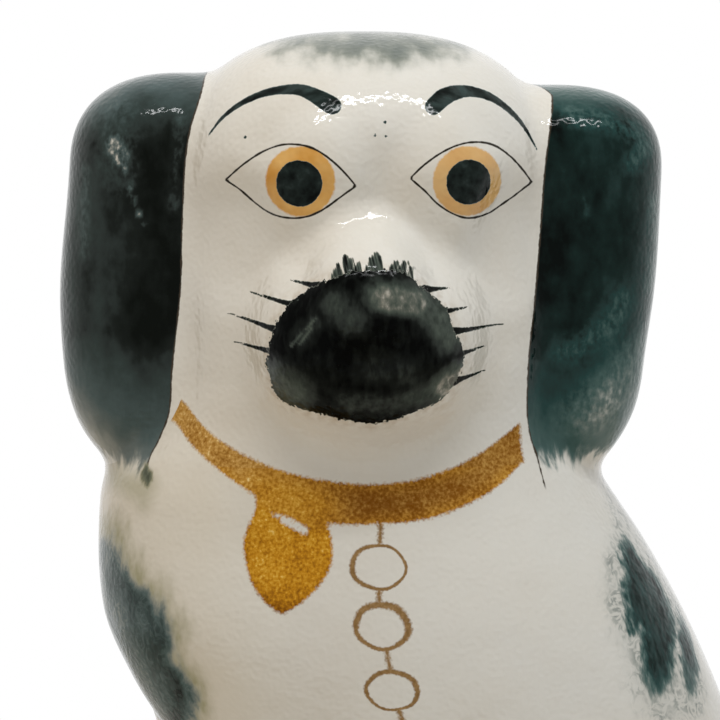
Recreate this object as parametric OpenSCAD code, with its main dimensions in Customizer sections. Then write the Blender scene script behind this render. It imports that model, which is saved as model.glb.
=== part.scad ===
// Seated spaniel mantelpiece figure in hollow glazed earthenware.
// It sits side-on with its chest to the left and its face turned to the viewer (-Y).
// Left and right in the names of pieces are the dog's own: its left ear is on the +X side.
// The clay pieces are pressed in moulds and luted together with slip: two half heads, two half
// bodies, two ears, two forelegs, a tail and the slab that closes the foot.

/* [Figure] */
// Height of the crown above the table
crown_z = 240; // [225:1:255]
// Thickness of the pressed clay wall
wall = 4.5; // [3:0.5:6]
// Thickness of the slip in a luted joint
slip_gap = 0.2; // [0.1:0.05:0.4]
// Height of the seam where the head is luted to the body
neck_z = 153; // [150:1:156]

/* [Head] */
// Place of the middle of the face, left of the middle of the foot
face_x = -21; // [-25:1:-17]
// Width of the head at the cheeks
head_w = 82; // [76:1:88]
// How much the head narrows to the crown on the dog's left side
head_lean = 2; // [0:0.5:4]
// Reach of the face in front of the mould seam
face_reach = 41.5; // [38:0.5:45]
// Reach of the back of the head behind the mould seam
nape_reach = 36; // [32:1:40]
// Height of the domed crown above the eyes
crown_rise = 36; // [30:1:42]
// Squareness of the crown seen from the front, 2 is an ellipse
crown_square = 2.6; // [2.2:0.1:3]
// Squareness of the head seen from above, 2 is an ellipse
head_square = 2.5; // [2.2:0.1:2.8]

/* [Muzzle] */
// Height of the nose
nose_z = 179; // [175:1:183]
// Width of the muzzle at its foot
muzzle_w = 58; // [52:1:64]
// Height of the muzzle above the nose
muzzle_rise = 26; // [23:1:29]
// Depth of the muzzle and chin below the nose
muzzle_drop = 28; // [25:1:30]
// How far the swell of the muzzle stands out from the face
muzzle_out = 14.5; // [11:0.5:18]
// Height of the middle of the nose bridge
bridge_z = 193; // [190:1:196]
// Width of the nose bridge at its foot
bridge_w = 26; // [22:1:30]
// Height of the nose bridge above its middle
bridge_rise = 15; // [12:1:18]
// Depth of the nose bridge below its middle
bridge_drop = 20; // [16:1:24]
// How far the nose bridge stands out from the muzzle
bridge_out = 5.5; // [3:0.5:7]
// How far the blunt nose may stand out from the face
nose_out = 17; // [14:0.5:20]

/* [Brow, eyes and cheeks] */
// Height of the middle of the brow ridge
ridge_z = 227; // [224:1:230]
// Width of the brow ridge
ridge_w = 60; // [52:1:68]
// Height of the brow ridge from its lower to its upper foot
ridge_h = 32; // [26:1:36]
// How far the brow ridge stands out from the face
ridge_out = 2.7; // [1.5:0.1:3.5]
// Place of the middle between the eyes, right of the middle of the face
eye_x = 3; // [0:0.5:5]
// Height of the middle of the eyes
eye_z = 210.5; // [207:0.5:214]
// Distance between the middles of the moulded eyes
eye_gap = 27; // [24:1:32]
// Width of a moulded eye
eye_w = 28; // [24:1:32]
// Height of a moulded eye above its middle
eye_rise = 17; // [14:1:19]
// Depth of a moulded eye below its middle
eye_drop = 20; // [16:1:22]
// How far a moulded eye stands out from its socket
eye_out = 3; // [1.5:0.1:4]
// Height at which the hollow under the brow is deepest
socket_z = 203; // [200:1:206]
// Width of the hollow under the brow
socket_w = 96; // [88:1:104]
// Height of the hollow above its deepest line
socket_rise = 12.5; // [10:0.5:15]
// Height of the hollow below its deepest line
socket_drop = 26; // [22:1:30]
// Depth of the hollow under the brow
socket_in = 1.5; // [0.5:0.1:2.5]
// Height of the middle of the cheek hollows
cheek_z = 199; // [196:1:202]
// Distance between the middles of the cheek hollows
cheek_gap = 56; // [52:1:60]
// Width of a cheek hollow
cheek_w = 24; // [20:1:28]
// Height of a cheek hollow
cheek_h = 38; // [34:1:42]
// Depth of a cheek hollow
cheek_in = 2.2; // [1:0.1:3]

/* [Ears] */
// Height of the top of the right ear
right_ear_top_z = 231.5; // [228:0.5:234]
// Height of the top of the left ear
left_ear_top_z = 229; // [226:1:232]
// Height to which the rounded lower end of the ears runs, inside the shoulder
ear_tip_z = 145; // [143:1:148]
// Reach of the right ear from the middle of the face
right_ear_reach = 64; // [62:0.5:67]
// Reach of the left ear from the middle of the face
left_ear_reach = 61; // [58:0.5:64]
// Depth of an ear from front to back
ear_depth = 44; // [40:1:48]
// Height of the rounded shoulder at the top of an ear
ear_shoulder = 18.5; // [16:0.5:22]
// Height of the rounded lower end of an ear
ear_round = 27; // [23:1:30]
// Least thickness of an ear where it thins out on the shoulder
ear_edge = 1.2; // [0.8:0.2:2]

/* [Body] */
// Height of the shoulders, where the ears end
shoulder_z = 147; // [145:1:150]
// Height at which the chest is fullest
chest_z = 121; // [116:1:126]
// Reach of the chest to the left of the middle of the face
chest_reach = 56; // [52:1:60]
// Height of the underside of the chest, over the forelegs
elbow_z = 80; // [76:1:84]
// Height at which the belly runs forward to the chest
belly_z = 52; // [48:1:56]
// Reach of the belly to the right of the middle of the face, behind the forelegs
belly_x = 9; // [6:1:12]
// Reach of the nape to the right of the middle of the face at the shoulders
nape_side = 49.5; // [46:0.5:53]
// Height of the loins, where the back runs down to the rump
loin_z = 100; // [94:1:106]
// Height at which the rump is fullest
rump_z = 28; // [24:1:32]
// Reach of the rump to the right of the middle of the face
rump_reach = 93; // [88:1:98]
// Reach of the body in front of the mould seam
flank_reach = 42; // [38:1:46]
// Reach of the chest in front of the mould seam
breast_reach = 46; // [43:1:49]
// Reach of the body behind the mould seam
back_reach = 41; // [37:1:45]

/* [Haunches] */
// Place of the middle of the thighs, right of the middle of the face
thigh_x = 52; // [48:1:56]
// Height of the middle of the thighs
thigh_z = 40; // [36:1:44]
// Length of a thigh
thigh_l = 72; // [66:1:78]
// Height of a thigh
thigh_h = 76; // [70:1:82]
// How far a thigh stands out from the mould seam
thigh_reach = 50; // [48:1:52]
// Place of the hind paws, right of the middle of the face
hind_paw_x = 16; // [13:1:19]
// Length of a hind paw
hind_paw_l = 48; // [44:1:52]
// Width of a hind paw
hind_paw_w = 40; // [37:1:43]
// Height of a hind paw
hind_paw_h = 20; // [18:1:22]
// How far a hind paw stands out from the foot
hind_paw_out = 13; // [11:1:15]

/* [Forelegs] */
// Place of the left foreleg, right of the middle of the face
left_leg_x = -14; // [-17:1:-13]
// Place of the left foreleg behind the mould seam
left_leg_y = -26; // [-29:1:-24]
// Place of the right foreleg, right of the middle of the face
right_leg_x = -30; // [-32:1:-28]
// Place of the right foreleg behind the mould seam
right_leg_y = 4; // [2:1:7]
// Thickness of a foreleg at the shin
foreleg_d = 25; // [22:1:27]
// Length of a forepaw
forepaw_l = 36; // [32:1:40]
// Height of a forepaw
forepaw_h = 15; // [13:1:18]

/* [Tail] */
// Height of the root of the tail
tail_root_z = 4; // [3:1:8]
// Height of the curled tip of the tail
tail_tip_z = 62; // [56:1:68]
// Width of the tail at its root
tail_w = 19; // [16:1:22]
// How far the tail stands out from the haunch
tail_proud = 8; // [6:1:10]

/* [Foot] */
// Thickness of the slab that closes the foot
slab_t = 6; // [4:0.5:8]
// Diameter of the vent hole that lets the kiln gases out
vent_d = 10; // [8:1:14]

/* [Hidden] */

white_glaze = [0.86, 0.84, 0.79];
black_enamel = [0.13, 0.16, 0.15];
bare_clay = [0.85, 0.80, 0.70];

// Facet counts of the lofted skins
head_front_cols = 40;
head_back_cols = 16;
body_cols = 28;
cheek_rows = 18;
crown_rows = 8;
body_rows = 25;
ear_cols = 26;
ear_rows = 18;
leg_cols = 18;
leg_rows = 10;
tail_cols = 12;
tail_rows = 14;

brow_z = crown_z - crown_rise;
half_head = head_w / 2;

// Height or reach a share of the way from one to another
function between(from, to, share) = from + (to - from) * share;

hip_z = between(rump_z, loin_z, 0.5);

// Silhouettes of head and body as heights and reaches, the reaches counted from the middle of the face
chest_side = [
    [0, belly_x], [rump_z, between(belly_x, -chest_reach, 0.015)],
    [belly_z, between(belly_x, -chest_reach, 0.123)],
    [between(belly_z, elbow_z, 0.57), between(belly_x, -chest_reach, 0.338)],
    [elbow_z, between(belly_x, -chest_reach, 0.569)],
    [between(elbow_z, chest_z, 0.39), between(belly_x, -chest_reach, 0.8)],
    [between(elbow_z, chest_z, 0.683), between(belly_x, -chest_reach, 0.915)],
    [chest_z, between(belly_x, -chest_reach, 0.992)], [between(chest_z, shoulder_z, 0.846), -chest_reach],
    [between(shoulder_z, neck_z, 0.833), between(belly_x, -chest_reach, 0.954)],
    [between(neck_z, brow_z, 0.157), -1.098 * half_head], [between(neck_z, brow_z, 0.353), -half_head],
    [crown_z, -half_head]
];
rump_side = [
    [0, between(nape_side, rump_reach, 0.908)], [rump_z, rump_reach],
    [between(rump_z, loin_z, 1 / 3), between(nape_side, rump_reach, 0.954)],
    [between(rump_z, loin_z, 2 / 3), between(nape_side, rump_reach, 0.793)],
    [loin_z, between(nape_side, rump_reach, 0.586)],
    [between(loin_z, shoulder_z, 0.351), between(nape_side, rump_reach, 0.421)],
    [between(loin_z, shoulder_z, 0.702), between(nape_side, rump_reach, 0.214)], [shoulder_z, nape_side],
    [between(neck_z, brow_z, 0.098), 1.049 * half_head], [between(neck_z, brow_z, 0.353), 0.98 * half_head],
    [crown_z, half_head - head_lean]
];
front_side = [
    [0, 0.857 * flank_reach], [rump_z, flank_reach], [hip_z, between(flank_reach, breast_reach, 0.25)],
    [between(elbow_z, chest_z, 0.39), breast_reach], [chest_z, breast_reach],
    [between(chest_z, shoulder_z, 0.846), 0.891 * breast_reach],
    [between(neck_z, brow_z, 0.078), 0.904 * face_reach],
    [between(neck_z, brow_z, 0.431), 0.952 * face_reach], [brow_z, face_reach], [crown_z, face_reach]
];
back_side = [
    [0, 0.878 * back_reach], [rump_z, back_reach], [hip_z, back_reach], [loin_z, 0.927 * back_reach],
    [between(chest_z, neck_z, 0.156), 0.854 * back_reach],
    [between(shoulder_z, neck_z, 0.333), 0.889 * nape_reach],
    [between(neck_z, brow_z, 0.392), 0.944 * nape_reach], [brow_z, nape_reach], [crown_z, nape_reach]
];
squareness = [
    [0, 2.4], [hip_z, 2.3], [chest_z, 2.4], [neck_z, 2.3], [between(neck_z, brow_z, 0.392), head_square],
    [crown_z, head_square]
];

// Thighs that the mould adds to the plain silhouettes: middle, then half sizes, then softness
thigh_half = [thigh_l / 2, thigh_reach / 2, thigh_h / 2];
swellings = [
    [[face_x + thigh_x, -thigh_half.y, thigh_z], thigh_half, thigh_l / 9],
    [[face_x + thigh_x, thigh_half.y, thigh_z], thigh_half, thigh_l / 9]
];

// Forms of the face: place and height of the middle, half width, heights above and below it, then relief
face_forms = [
    [0, nose_z, muzzle_w / 2, muzzle_rise, muzzle_drop, muzzle_out],
    [0, bridge_z, bridge_w / 2, bridge_rise, bridge_drop, bridge_out],
    [0, ridge_z, ridge_w / 2, ridge_h / 2, ridge_h / 2, ridge_out],
    [eye_x - eye_gap / 2, eye_z, eye_w / 2, eye_rise, eye_drop, eye_out],
    [eye_x + eye_gap / 2, eye_z, eye_w / 2, eye_rise, eye_drop, eye_out],
    [0, socket_z, socket_w / 2, socket_rise, socket_drop, -socket_in],
    [-cheek_gap / 2, cheek_z, cheek_w / 2, cheek_h / 2, cheek_h / 2, -cheek_in],
    [cheek_gap / 2, cheek_z, cheek_w / 2, cheek_h / 2, cheek_h / 2, -cheek_in]
];

// Smooth curve through stations of height and reach, level beyond its ends
function slope_at(s, i) =
    let (a = max(i - 1, 0), b = min(i + 1, len(s) - 1)) (s[b][1] - s[a][1]) / (s[b][0] - s[a][0]);
function curve(s, z, i = 0) =
    z <= s[0][0] ? s[0][1] :
    z >= s[len(s) - 1][0] ? s[len(s) - 1][1] :
    z > s[i + 1][0] ? curve(s, z, i + 1) :
    let (h = s[i + 1][0] - s[i][0], t = (z - s[i][0]) / h)
    (1 + 2 * t) * (1 - t) ^ 2 * s[i][1] + t * (1 - t) ^ 2 * h * slope_at(s, i)
    + t ^ 2 * (3 - 2 * t) * s[i + 1][1] + t ^ 2 * (t - 1) * h * slope_at(s, i + 1);

// Share of its full width that a form keeps at a height z, where its rounded top starts at the height foot
function dome(z, foot, rise, n) = z <= foot ? 1 : max(0, 1 - ((z - foot) / rise) ^ n) ^ (1 / n);

// Level cut through head and body: middle, then reaches to left, right, front and back, then squareness
function cut_at(z) =
    let (l = curve(chest_side, z), r = curve(rump_side, z), d = dome(z, brow_z, crown_rise, crown_square))
    let (sides = d * [(r - l) / 2, curve(front_side, z), curve(back_side, z)])
    concat([face_x + (l + r) / 2], sides, [curve(squareness, z)]);

function smooth_max(a, b, k) = max(a, b) + max(0, k - abs(a - b)) ^ 2 / (4 * k);

// Distance from the middle of a cut to the far side of a swelling, or 0 where the swelling isn't met
function swelling_reach(c, z, dir, s) =
    let (
        p = [c[0] - s[0][0], -s[0][1]],
        q = [s[1][0] ^ 2, s[1][1] ^ 2],
        a = dir.x ^ 2 / q.x + dir.y ^ 2 / q.y,
        b = p.x * dir.x / q.x + p.y * dir.y / q.y,
        e = p.x ^ 2 / q.x + p.y ^ 2 / q.y + ((z - s[0][2]) / s[1][2]) ^ 2 - 1,
        under = b ^ 2 - a * e
    ) under <= 0 ? 0 : (sqrt(under) - b) / a;

function with_swellings(r, c, z, dir, i = 0) =
    i == len(swellings) ? r :
    with_swellings(smooth_max(r, swelling_reach(c, z, dir, swellings[i]), swellings[i][2]), c, z, dir, i + 1);

// How far a moulded swell stands out at a share of the way from its middle to its foot
function swell(out, off) = off >= 1 ? 0 : out * (1 - off ^ 3) ^ 3;

// Rounds a swell off before it stands out by more than the most
function blunt(out, most) = out / (1 + (out / most) ^ 4) ^ 0.25;

// Relief of the face: swells in front of the plain head, and hollows where they stand out by less than 0
function relief(x, z, f) =
    let (high = z > f[1] ? f[3] : f[4]) swell(f[5], norm([(x - face_x - f[0]) / f[2], (z - f[1]) / high]));
function face_relief(x, z) =
    blunt([for (f = face_forms) relief(x, z, f)] * [for (f = face_forms) 1], nose_out);
function hind_paw(x, y, z) =
    let (
        along = (x - face_x - hind_paw_x) * 2 / hind_paw_l,
        across = (abs(y) - curve(y < 0 ? front_side : back_side, 0)) * 2 / hind_paw_w
    ) blunt(swell(1.6 * hind_paw_out, norm([along, across, z / hind_paw_h])), hind_paw_out);

// Reach of the skin of head and body at an angle round a level cut
function reach(c, z, angle) =
    let (
        dir = [cos(angle), sin(angle)],
        depth = dir.y < 0 ? c[2] : c[3],
        n = c[4],
        plain = (abs(dir.x / c[1]) ^ n + abs(dir.y / depth) ^ n) ^ (-1 / n),
        r = c[1] < 0.01 ? 0 : with_swellings(plain, c, z, dir),
        x = c[0] + r * dir.x
    ) r + (dir.y < 0 ? face_relief(x, z) : 0) + hind_paw(x, r * dir.y, z);

function skin(z, angle) =
    let (c = cut_at(z), r = reach(c, z, angle)) [c[0] + r * cos(angle), r * sin(angle), z];

function unit(v) = v / norm(v);

// Outward direction of the skin. On the mould seam and on level edges it stays in the plane of the joint.
function outward(z, angle, on_seam, on_edge) =
    let (
        round = skin(z, angle + 1) - skin(z, angle - 1),
        up = skin(min(z + 0.4, crown_z), angle) - skin(z - 0.4, angle),
        n = z >= crown_z - 0.01 ? [0, 0, 1] : cross(round, up)
    ) unit([n.x, on_seam ? 0 : n.y, on_edge ? 0 : n.z]);

// Moves a point that lies inside head or body out to their skin, with room for the slip and more if asked
function seated(p, more = 0) =
    let (
        z = min(p.z, crown_z - 0.5),
        c = cut_at(z),
        d = [p.x - c[0], p.y],
        angle = atan2(d.y, d.x),
        r = reach(c, z, angle) + slip_gap + more
    ) norm(d) >= r ? p : [c[0] + r * cos(angle), r * sin(angle), p.z];

// Two triangles for each cell of a grid of points, numbered row by row from a first index
function grid_faces(rows, cols, first, flip) = [
    for (i = [0 : rows - 2], j = [0 : cols - 2])
    let (a = first + i * cols + j, b = a + 1, c = a + cols, d = c + 1)
    each flip ? [[a, d, b], [a, c, d]] : [[a, b, d], [a, d, c]]
];
function strip_faces(outer, inner, flip) = [
    for (i = [0 : len(outer) - 2])
    let (a = outer[i], b = outer[i + 1], c = inner[i], d = inner[i + 1])
    each flip ? [[a, b, d], [a, d, c]] : [[a, d, b], [a, c, d]]
];

// Half shell of constant wall between two angles, over a list of heights. A shell that reaches the
// crown ends in one point there, and any other ends in a level edge.
module half_shell(heights, from, to, cols) {
    closed = heights[len(heights) - 1] >= crown_z;
    rows = closed ? len(heights) - 1 : len(heights);
    angles = [for (j = [0 : cols - 1]) from + (to - from) * j / (cols - 1)];
    outer = [for (i = [0 : rows - 1], a = angles) skin(heights[i], a)];
    inner = [
        for (i = [0 : rows - 1], j = [0 : cols - 1])
        outer[i * cols + j] - wall * outward(
            heights[i], angles[j], j == 0 || j == cols - 1, i == 0 || !closed && i == rows - 1)
    ];
    top = skin(crown_z, 0);
    points = concat(outer, inner, closed ? [top, top - [0, 0, wall]] : []);
    count = rows * cols;
    pole = 2 * count;
    near_edge = [for (i = [0 : rows - 1]) i * cols];
    far_edge = [for (i = [0 : rows - 1]) i * cols + cols - 1];
    low_edge = [for (j = [0 : cols - 1]) j];
    high_edge = [for (j = [0 : cols - 1]) count - cols + j];
    function inside(edge) = [for (k = edge) k + count];
    function with_pole(edge, k) = closed ? concat(edge, [k]) : edge;
    caps = [
        for (j = [0 : cols - 2]) each [
            [high_edge[j], high_edge[j + 1], pole],
            [high_edge[j + 1] + count, high_edge[j] + count, pole + 1]
        ]
    ];
    faces = concat(
        grid_faces(rows, cols, 0, false),
        grid_faces(rows, cols, count, true),
        strip_faces(with_pole(near_edge, pole), with_pole(inside(near_edge), pole + 1), true),
        strip_faces(with_pole(far_edge, pole), with_pole(inside(far_edge), pole + 1), false),
        strip_faces(low_edge, inside(low_edge), false),
        closed ? caps : strip_faces(high_edge, inside(high_edge), true)
    );
    polyhedron(points, [for (f = faces) [f[2], f[1], f[0]]]);
}

// Closed skin over a list of rings with the same number of points, ended by a middle point each
module loft(rings, low_point, high_point) {
    n = len(rings[0]);
    count = len(rings) * n;
    points = concat([for (ring = rings, p = ring) p], [low_point, high_point]);
    sides = [
        for (i = [0 : len(rings) - 2], j = [0 : n - 1])
        let (a = i * n + j, b = i * n + (j + 1) % n, c = a + n, d = b + n) each [[a, d, b], [a, c, d]]
    ];
    ends = [
        for (j = [0 : n - 1])
        let (k = (j + 1) % n) each [[count, j, k], [count + 1, count - n + k, count - n + j]]
    ];
    polyhedron(points, concat(sides, ends));
}

// Heights of the rows of skin, closer together towards the crown
cheek_heights = [for (i = [0 : cheek_rows - 1]) neck_z + (brow_z - neck_z) * i / cheek_rows];
crown_heights = [for (i = [0 : crown_rows]) brow_z + crown_rise * sin(90 * i / crown_rows)];
head_heights = concat(cheek_heights, crown_heights);
body_heights = [for (i = [0 : body_rows - 1]) neck_z * (i / (body_rows - 1)) ^ 1.3];

module head_front() {
    color(white_glaze) half_shell(head_heights, 180, 360, head_front_cols);
}

module head_back() {
    color(white_glaze) half_shell(head_heights, 0, 180, head_back_cols);
}

module body_front() {
    color(white_glaze) half_shell(body_heights, 180, 360, body_cols);
}

module body_back() {
    color(white_glaze) half_shell(body_heights, 0, 180, body_cols);
}

// Hanging ear, a thick flap with rounded ends, luted to the side of the head and thinned out on the shoulder
module ear(side, top_z, outline) {
    root = 0.927 * half_head;
    low_z = ear_tip_z + ear_round * 0.22;
    rise = top_z - 0.4 - low_z;
    heights = [for (i = [0 : ear_rows - 1]) low_z + rise * (1 - cos(180 * i / (ear_rows - 1))) / 2];
    function ring(z) =
        let (
            high = max(0, (z - top_z + ear_shoulder) / ear_shoulder),
            low = max(0, (ear_tip_z + ear_round - z) / ear_round),
            keep = max(0, 1 - high ^ 2.5 - low ^ 2.5) ^ 0.4,
            out = (curve(outline, z) - root) * keep,
            into = 0.293 * half_head * keep,
            deep = ear_depth / 2 * keep
        ) [
            for (j = [0 : ear_cols - 1])
            let (
                a = 360 * j / ear_cols,
                c = cos(a),
                s = sin(a),
                w = c > 0 ? out : into
            )
            seated([
                face_x + side * (root + w * sign(c) * abs(c) ^ 0.75),
                side * deep * sign(s) * abs(s) ^ 0.75 - 1,
                z
            ], ear_edge * max(0, c))
        ];
    rings = [for (z = heights) ring(z)];
    function middle(r) = [for (k = [0 : 2]) [for (p = r) p[k]] * [for (p = r) 1 / len(r)]];
    loft(rings, seated(middle(rings[0])), seated(middle(rings[ear_rows - 1]) + [0, 0, 0.4]));
}

right_ear_outline = [
    [ear_tip_z, 0.914 * right_ear_reach],
    [between(ear_tip_z, right_ear_top_z, 0.173), 0.969 * right_ear_reach],
    [between(ear_tip_z, right_ear_top_z, 0.462), right_ear_reach],
    [between(ear_tip_z, right_ear_top_z, 0.746), 0.969 * right_ear_reach],
    [right_ear_top_z, 0.945 * right_ear_reach]
];
left_ear_outline = [
    [ear_tip_z, 0.836 * left_ear_reach], [between(ear_tip_z, left_ear_top_z, 0.179), 0.918 * left_ear_reach],
    [between(ear_tip_z, left_ear_top_z, 0.345), 0.951 * left_ear_reach],
    [between(ear_tip_z, left_ear_top_z, 0.524), 0.984 * left_ear_reach],
    [between(ear_tip_z, left_ear_top_z, 0.762), left_ear_reach], [left_ear_top_z, 1.008 * left_ear_reach]
];

module left_ear() {
    color(black_enamel) ear(1, left_ear_top_z, left_ear_outline);
}

module right_ear() {
    color(black_enamel) ear(-1, right_ear_top_z, right_ear_outline);
}

// Foreleg that stands clear of the belly and rises until it meets the underside of the chest
module foreleg(x, y, toe_angle) {
    shin = foreleg_d / 2;
    long_half = [
        [0, 0.472 * forepaw_l], [0.3 * forepaw_h, forepaw_l / 2], [0.7 * forepaw_h, 0.458 * forepaw_l],
        [1.133 * forepaw_h, 1.12 * shin], [1.8 * forepaw_h, shin], [chest_z, 1.08 * shin]
    ];
    wide_half = [
        [0, 1.04 * shin], [0.3 * forepaw_h, 1.12 * shin], [forepaw_h, shin],
        [1.8 * forepaw_h, 0.92 * shin], [chest_z, 1.08 * shin]
    ];
    function at(u, z, share) =
        let (a = curve(long_half, z), b = curve(wide_half, z), along = a - shin + a * cos(u) * share)
        [
            x + along * cos(toe_angle) - b * sin(u) * share * sin(toe_angle),
            y + along * sin(toe_angle) + b * sin(u) * share * cos(toe_angle),
            z
        ];
    function clear_of_body(p) = seated(p) == p;
    function top_z(u, share, low, high, tries) =
        let (mid = (low + high) / 2)
        tries == 0 ? low :
        clear_of_body(at(u, mid, share)) ? top_z(u, share, mid, high, tries - 1) :
        top_z(u, share, low, mid, tries - 1);
    turns = [for (j = [0 : leg_cols - 1]) 360 * j / leg_cols];
    tops = [for (u = turns) top_z(u, 1, forepaw_h, chest_z, 12)];
    rings = [
        for (i = [0 : leg_rows - 1])
        let (t = (i / (leg_rows - 1)) ^ 1.3) [for (j = [0 : leg_cols - 1]) at(turns[j], t * tops[j], 1)]
    ];
    crown_ring = [for (u = turns) at(u, top_z(u, 0.5, forepaw_h, chest_z, 12), 0.5)];
    loft(concat(rings, [crown_ring]), at(0, 0, 0), at(0, top_z(0, 0, forepaw_h, chest_z, 12), 0));
}

module left_foreleg() {
    color(white_glaze) foreleg(face_x + left_leg_x, left_leg_y, 225);
}

module right_foreleg() {
    color(white_glaze) foreleg(face_x + right_leg_x, right_leg_y, 200);
}

// Tail that lies on the left haunch, half round, from its root at the foot to a curled tip
module tail() {
    heights = [
        [0, tail_root_z], [0.35, between(tail_root_z, tail_tip_z, 0.38)],
        [0.6, between(tail_root_z, tail_tip_z, 0.72)], [0.85, between(tail_root_z, tail_tip_z, 0.966)],
        [1, tail_tip_z]
    ];
    angles = [[0, -33], [0.35, -28], [0.6, -33], [0.85, -45], [1, -56]];
    function middle(t) = skin(curve(heights, t), curve(angles, t));
    function ring(t) =
        let (
            c = middle(t),
            along = unit(middle(t + 0.01) - middle(t - 0.01)),
            out = outward(c.z, curve(angles, t), false, false),
            across = unit(cross(out, along)),
            keep = sqrt(1 - max(0, 1 - t / 0.14) ^ 2 - max(0, (t - 0.6) / 0.4) ^ 2) * (1 - 0.35 * t)
        ) [
            for (j = [0 : tail_cols - 1])
            let (u = 360 * j / tail_cols)
            seated(
                c + keep * (across * tail_w / 2 * cos(u) + out * tail_proud * sin(u)),
                0.6 * max(0, sin(u)))
        ];
    rings = [for (i = [0 : tail_rows - 1]) ring(0.5 - 0.48 * cos(180 * i / (tail_rows - 1)))];
    function end(t) = seated(middle(t), 0.3);
    color(black_enamel) loft(rings, end(0.01), end(0.99));
}

// Slab luted into the foot, level with the rim, with the vent hole in its middle
module foot_slab() {
    slab_angles = [for (j = [0 : 2 * body_cols - 3]) 180 * j / (body_cols - 1)];
    function rim(a) =
        let (
            seam = a % 180 == 0,
            low_w = norm(skin(0, a) - skin(0, a + 180)),
            high_w = norm(skin(slab_t, a) - skin(slab_t, a + 180)),
            draw_in = max(0, low_w - high_w)
        ) skin(0, a) - (wall + slip_gap + draw_in) * outward(0, a, seam, true);
    color(bare_clay) difference() {
        linear_extrude(slab_t) polygon([for (a = slab_angles) [rim(a).x, rim(a).y]]);
        translate([cut_at(0)[0], 0, -1]) cylinder(d = vent_d, h = slab_t + 2, $fn = 48);
    }
}

head_front();
head_back();
body_front();
body_back();
left_ear();
right_ear();
left_foreleg();
right_foreleg();
tail();
foot_slab();
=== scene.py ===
import itertools
import math

import bpy
import numpy as np
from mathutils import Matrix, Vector


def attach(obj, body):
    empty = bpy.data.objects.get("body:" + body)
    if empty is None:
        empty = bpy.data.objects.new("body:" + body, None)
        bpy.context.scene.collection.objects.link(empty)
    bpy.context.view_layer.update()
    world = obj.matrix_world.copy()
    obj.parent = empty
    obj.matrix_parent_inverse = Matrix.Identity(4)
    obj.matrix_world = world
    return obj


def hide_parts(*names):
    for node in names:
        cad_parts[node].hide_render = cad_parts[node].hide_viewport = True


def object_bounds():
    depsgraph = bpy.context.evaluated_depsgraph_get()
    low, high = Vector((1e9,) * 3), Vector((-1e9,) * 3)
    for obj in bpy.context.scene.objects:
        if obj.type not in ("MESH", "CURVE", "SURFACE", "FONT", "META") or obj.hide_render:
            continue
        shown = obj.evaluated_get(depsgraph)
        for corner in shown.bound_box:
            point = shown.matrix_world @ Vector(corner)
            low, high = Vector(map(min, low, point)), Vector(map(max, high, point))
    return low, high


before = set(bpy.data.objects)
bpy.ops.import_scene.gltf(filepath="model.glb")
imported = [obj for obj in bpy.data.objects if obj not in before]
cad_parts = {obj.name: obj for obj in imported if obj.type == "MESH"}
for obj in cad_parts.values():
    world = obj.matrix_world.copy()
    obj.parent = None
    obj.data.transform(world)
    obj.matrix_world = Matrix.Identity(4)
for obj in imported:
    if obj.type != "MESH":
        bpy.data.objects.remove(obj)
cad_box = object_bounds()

# Head and body: hollow earthenware, pressed in a front and a back mould that meet in the plane y = 0.
# The head is a separate pressing, turned to the viewer and luted on at the neck with slip.
# Clay lengths are in millimetres, sideways ones from the middle of the face, and meshes in metres.
face_x = -21.0
neck_z, brow_z, crown_rise, crown_square, wall = 153.0, 204.0, 36.0, 2.6, 4.5
chest_side = [(0, 9), (28, 8), (52, 1), (68, -13), (80, -28), (96, -43), (108, -50.5), (121, -55.5),
              (143, -56), (152, -53), (161, -45), (171, -41), (240, -41)]
rump_side = [(0, 89), (28, 93), (52, 91), (76, 84), (100, 75), (116.5, 67.8), (133, 58.8), (147, 49.5),
             (158, 43), (171, 40.2), (240, 39)]
front_side = [(0, 36), (28, 42), (64, 43), (96, 46), (121, 46), (143, 41), (157, 37.5), (175, 39.5),
              (204, 41.5), (240, 41.5)]
back_side = [(0, 36), (28, 41), (64, 41), (100, 38), (126, 35), (149, 32), (173, 34), (204, 36), (240, 36)]
squareness = [(0, 2.4), (64, 2.3), (121, 2.4), (153, 2.3), (173, 2.5), (240, 2.5)]
# Forms of the face: place across it and height, half width, half height above and below,
# and how far each stands out
nose_out = 17.0
face_forms = [(0, 179, 29, 26, 28, 14.5), (0, 193, 13, 15, 20, 5.5), (0, 227, 30, 16, 16, 2.7),
              (-10.5, 210.5, 14, 17, 20, 3.0), (16.5, 210.5, 14, 17, 20, 3.0), (0, 203, 48, 12.5, 26, -1.5),
              (-28, 199, 12, 19, 19, -2.2), (28, 199, 12, 19, 19, -2.2)]
thigh_x, thigh_z, thigh_half, thigh_soft = 52.0, 40.0, (36.0, 25.0, 38.0), 8.0
hind_paw_x, hind_paw_half, hind_paw_swell, hind_paw_out = 16.0, (24.0, 20.0, 20.0), 20.8, 13.0


def curve(stations, z):
    """Smooth curve through stations of (height, reach), level beyond its ends."""
    at, value = np.array(stations, float).T
    slope = np.concatenate([
        [(value[1] - value[0]) / (at[1] - at[0])],
        (value[2:] - value[:-2]) / (at[2:] - at[:-2]),
        [(value[-1] - value[-2]) / (at[-1] - at[-2])],
    ])
    i = np.clip(np.searchsorted(at, z) - 1, 0, len(at) - 2)
    h = at[i + 1] - at[i]
    t = np.clip((z - at[i]) / h, 0, 1)
    return ((1 + 2 * t) * (1 - t) ** 2 * value[i] + t * (1 - t) ** 2 * h * slope[i]
            + t ** 2 * (3 - 2 * t) * value[i + 1] + t ** 2 * (t - 1) * h * slope[i + 1])


def swell(out, *offsets):
    """How far a moulded swell stands out, from its middle to its foot."""
    return out * np.maximum(1 - sum(np.square(o) for o in offsets) ** 1.5, 0) ** 3


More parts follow.
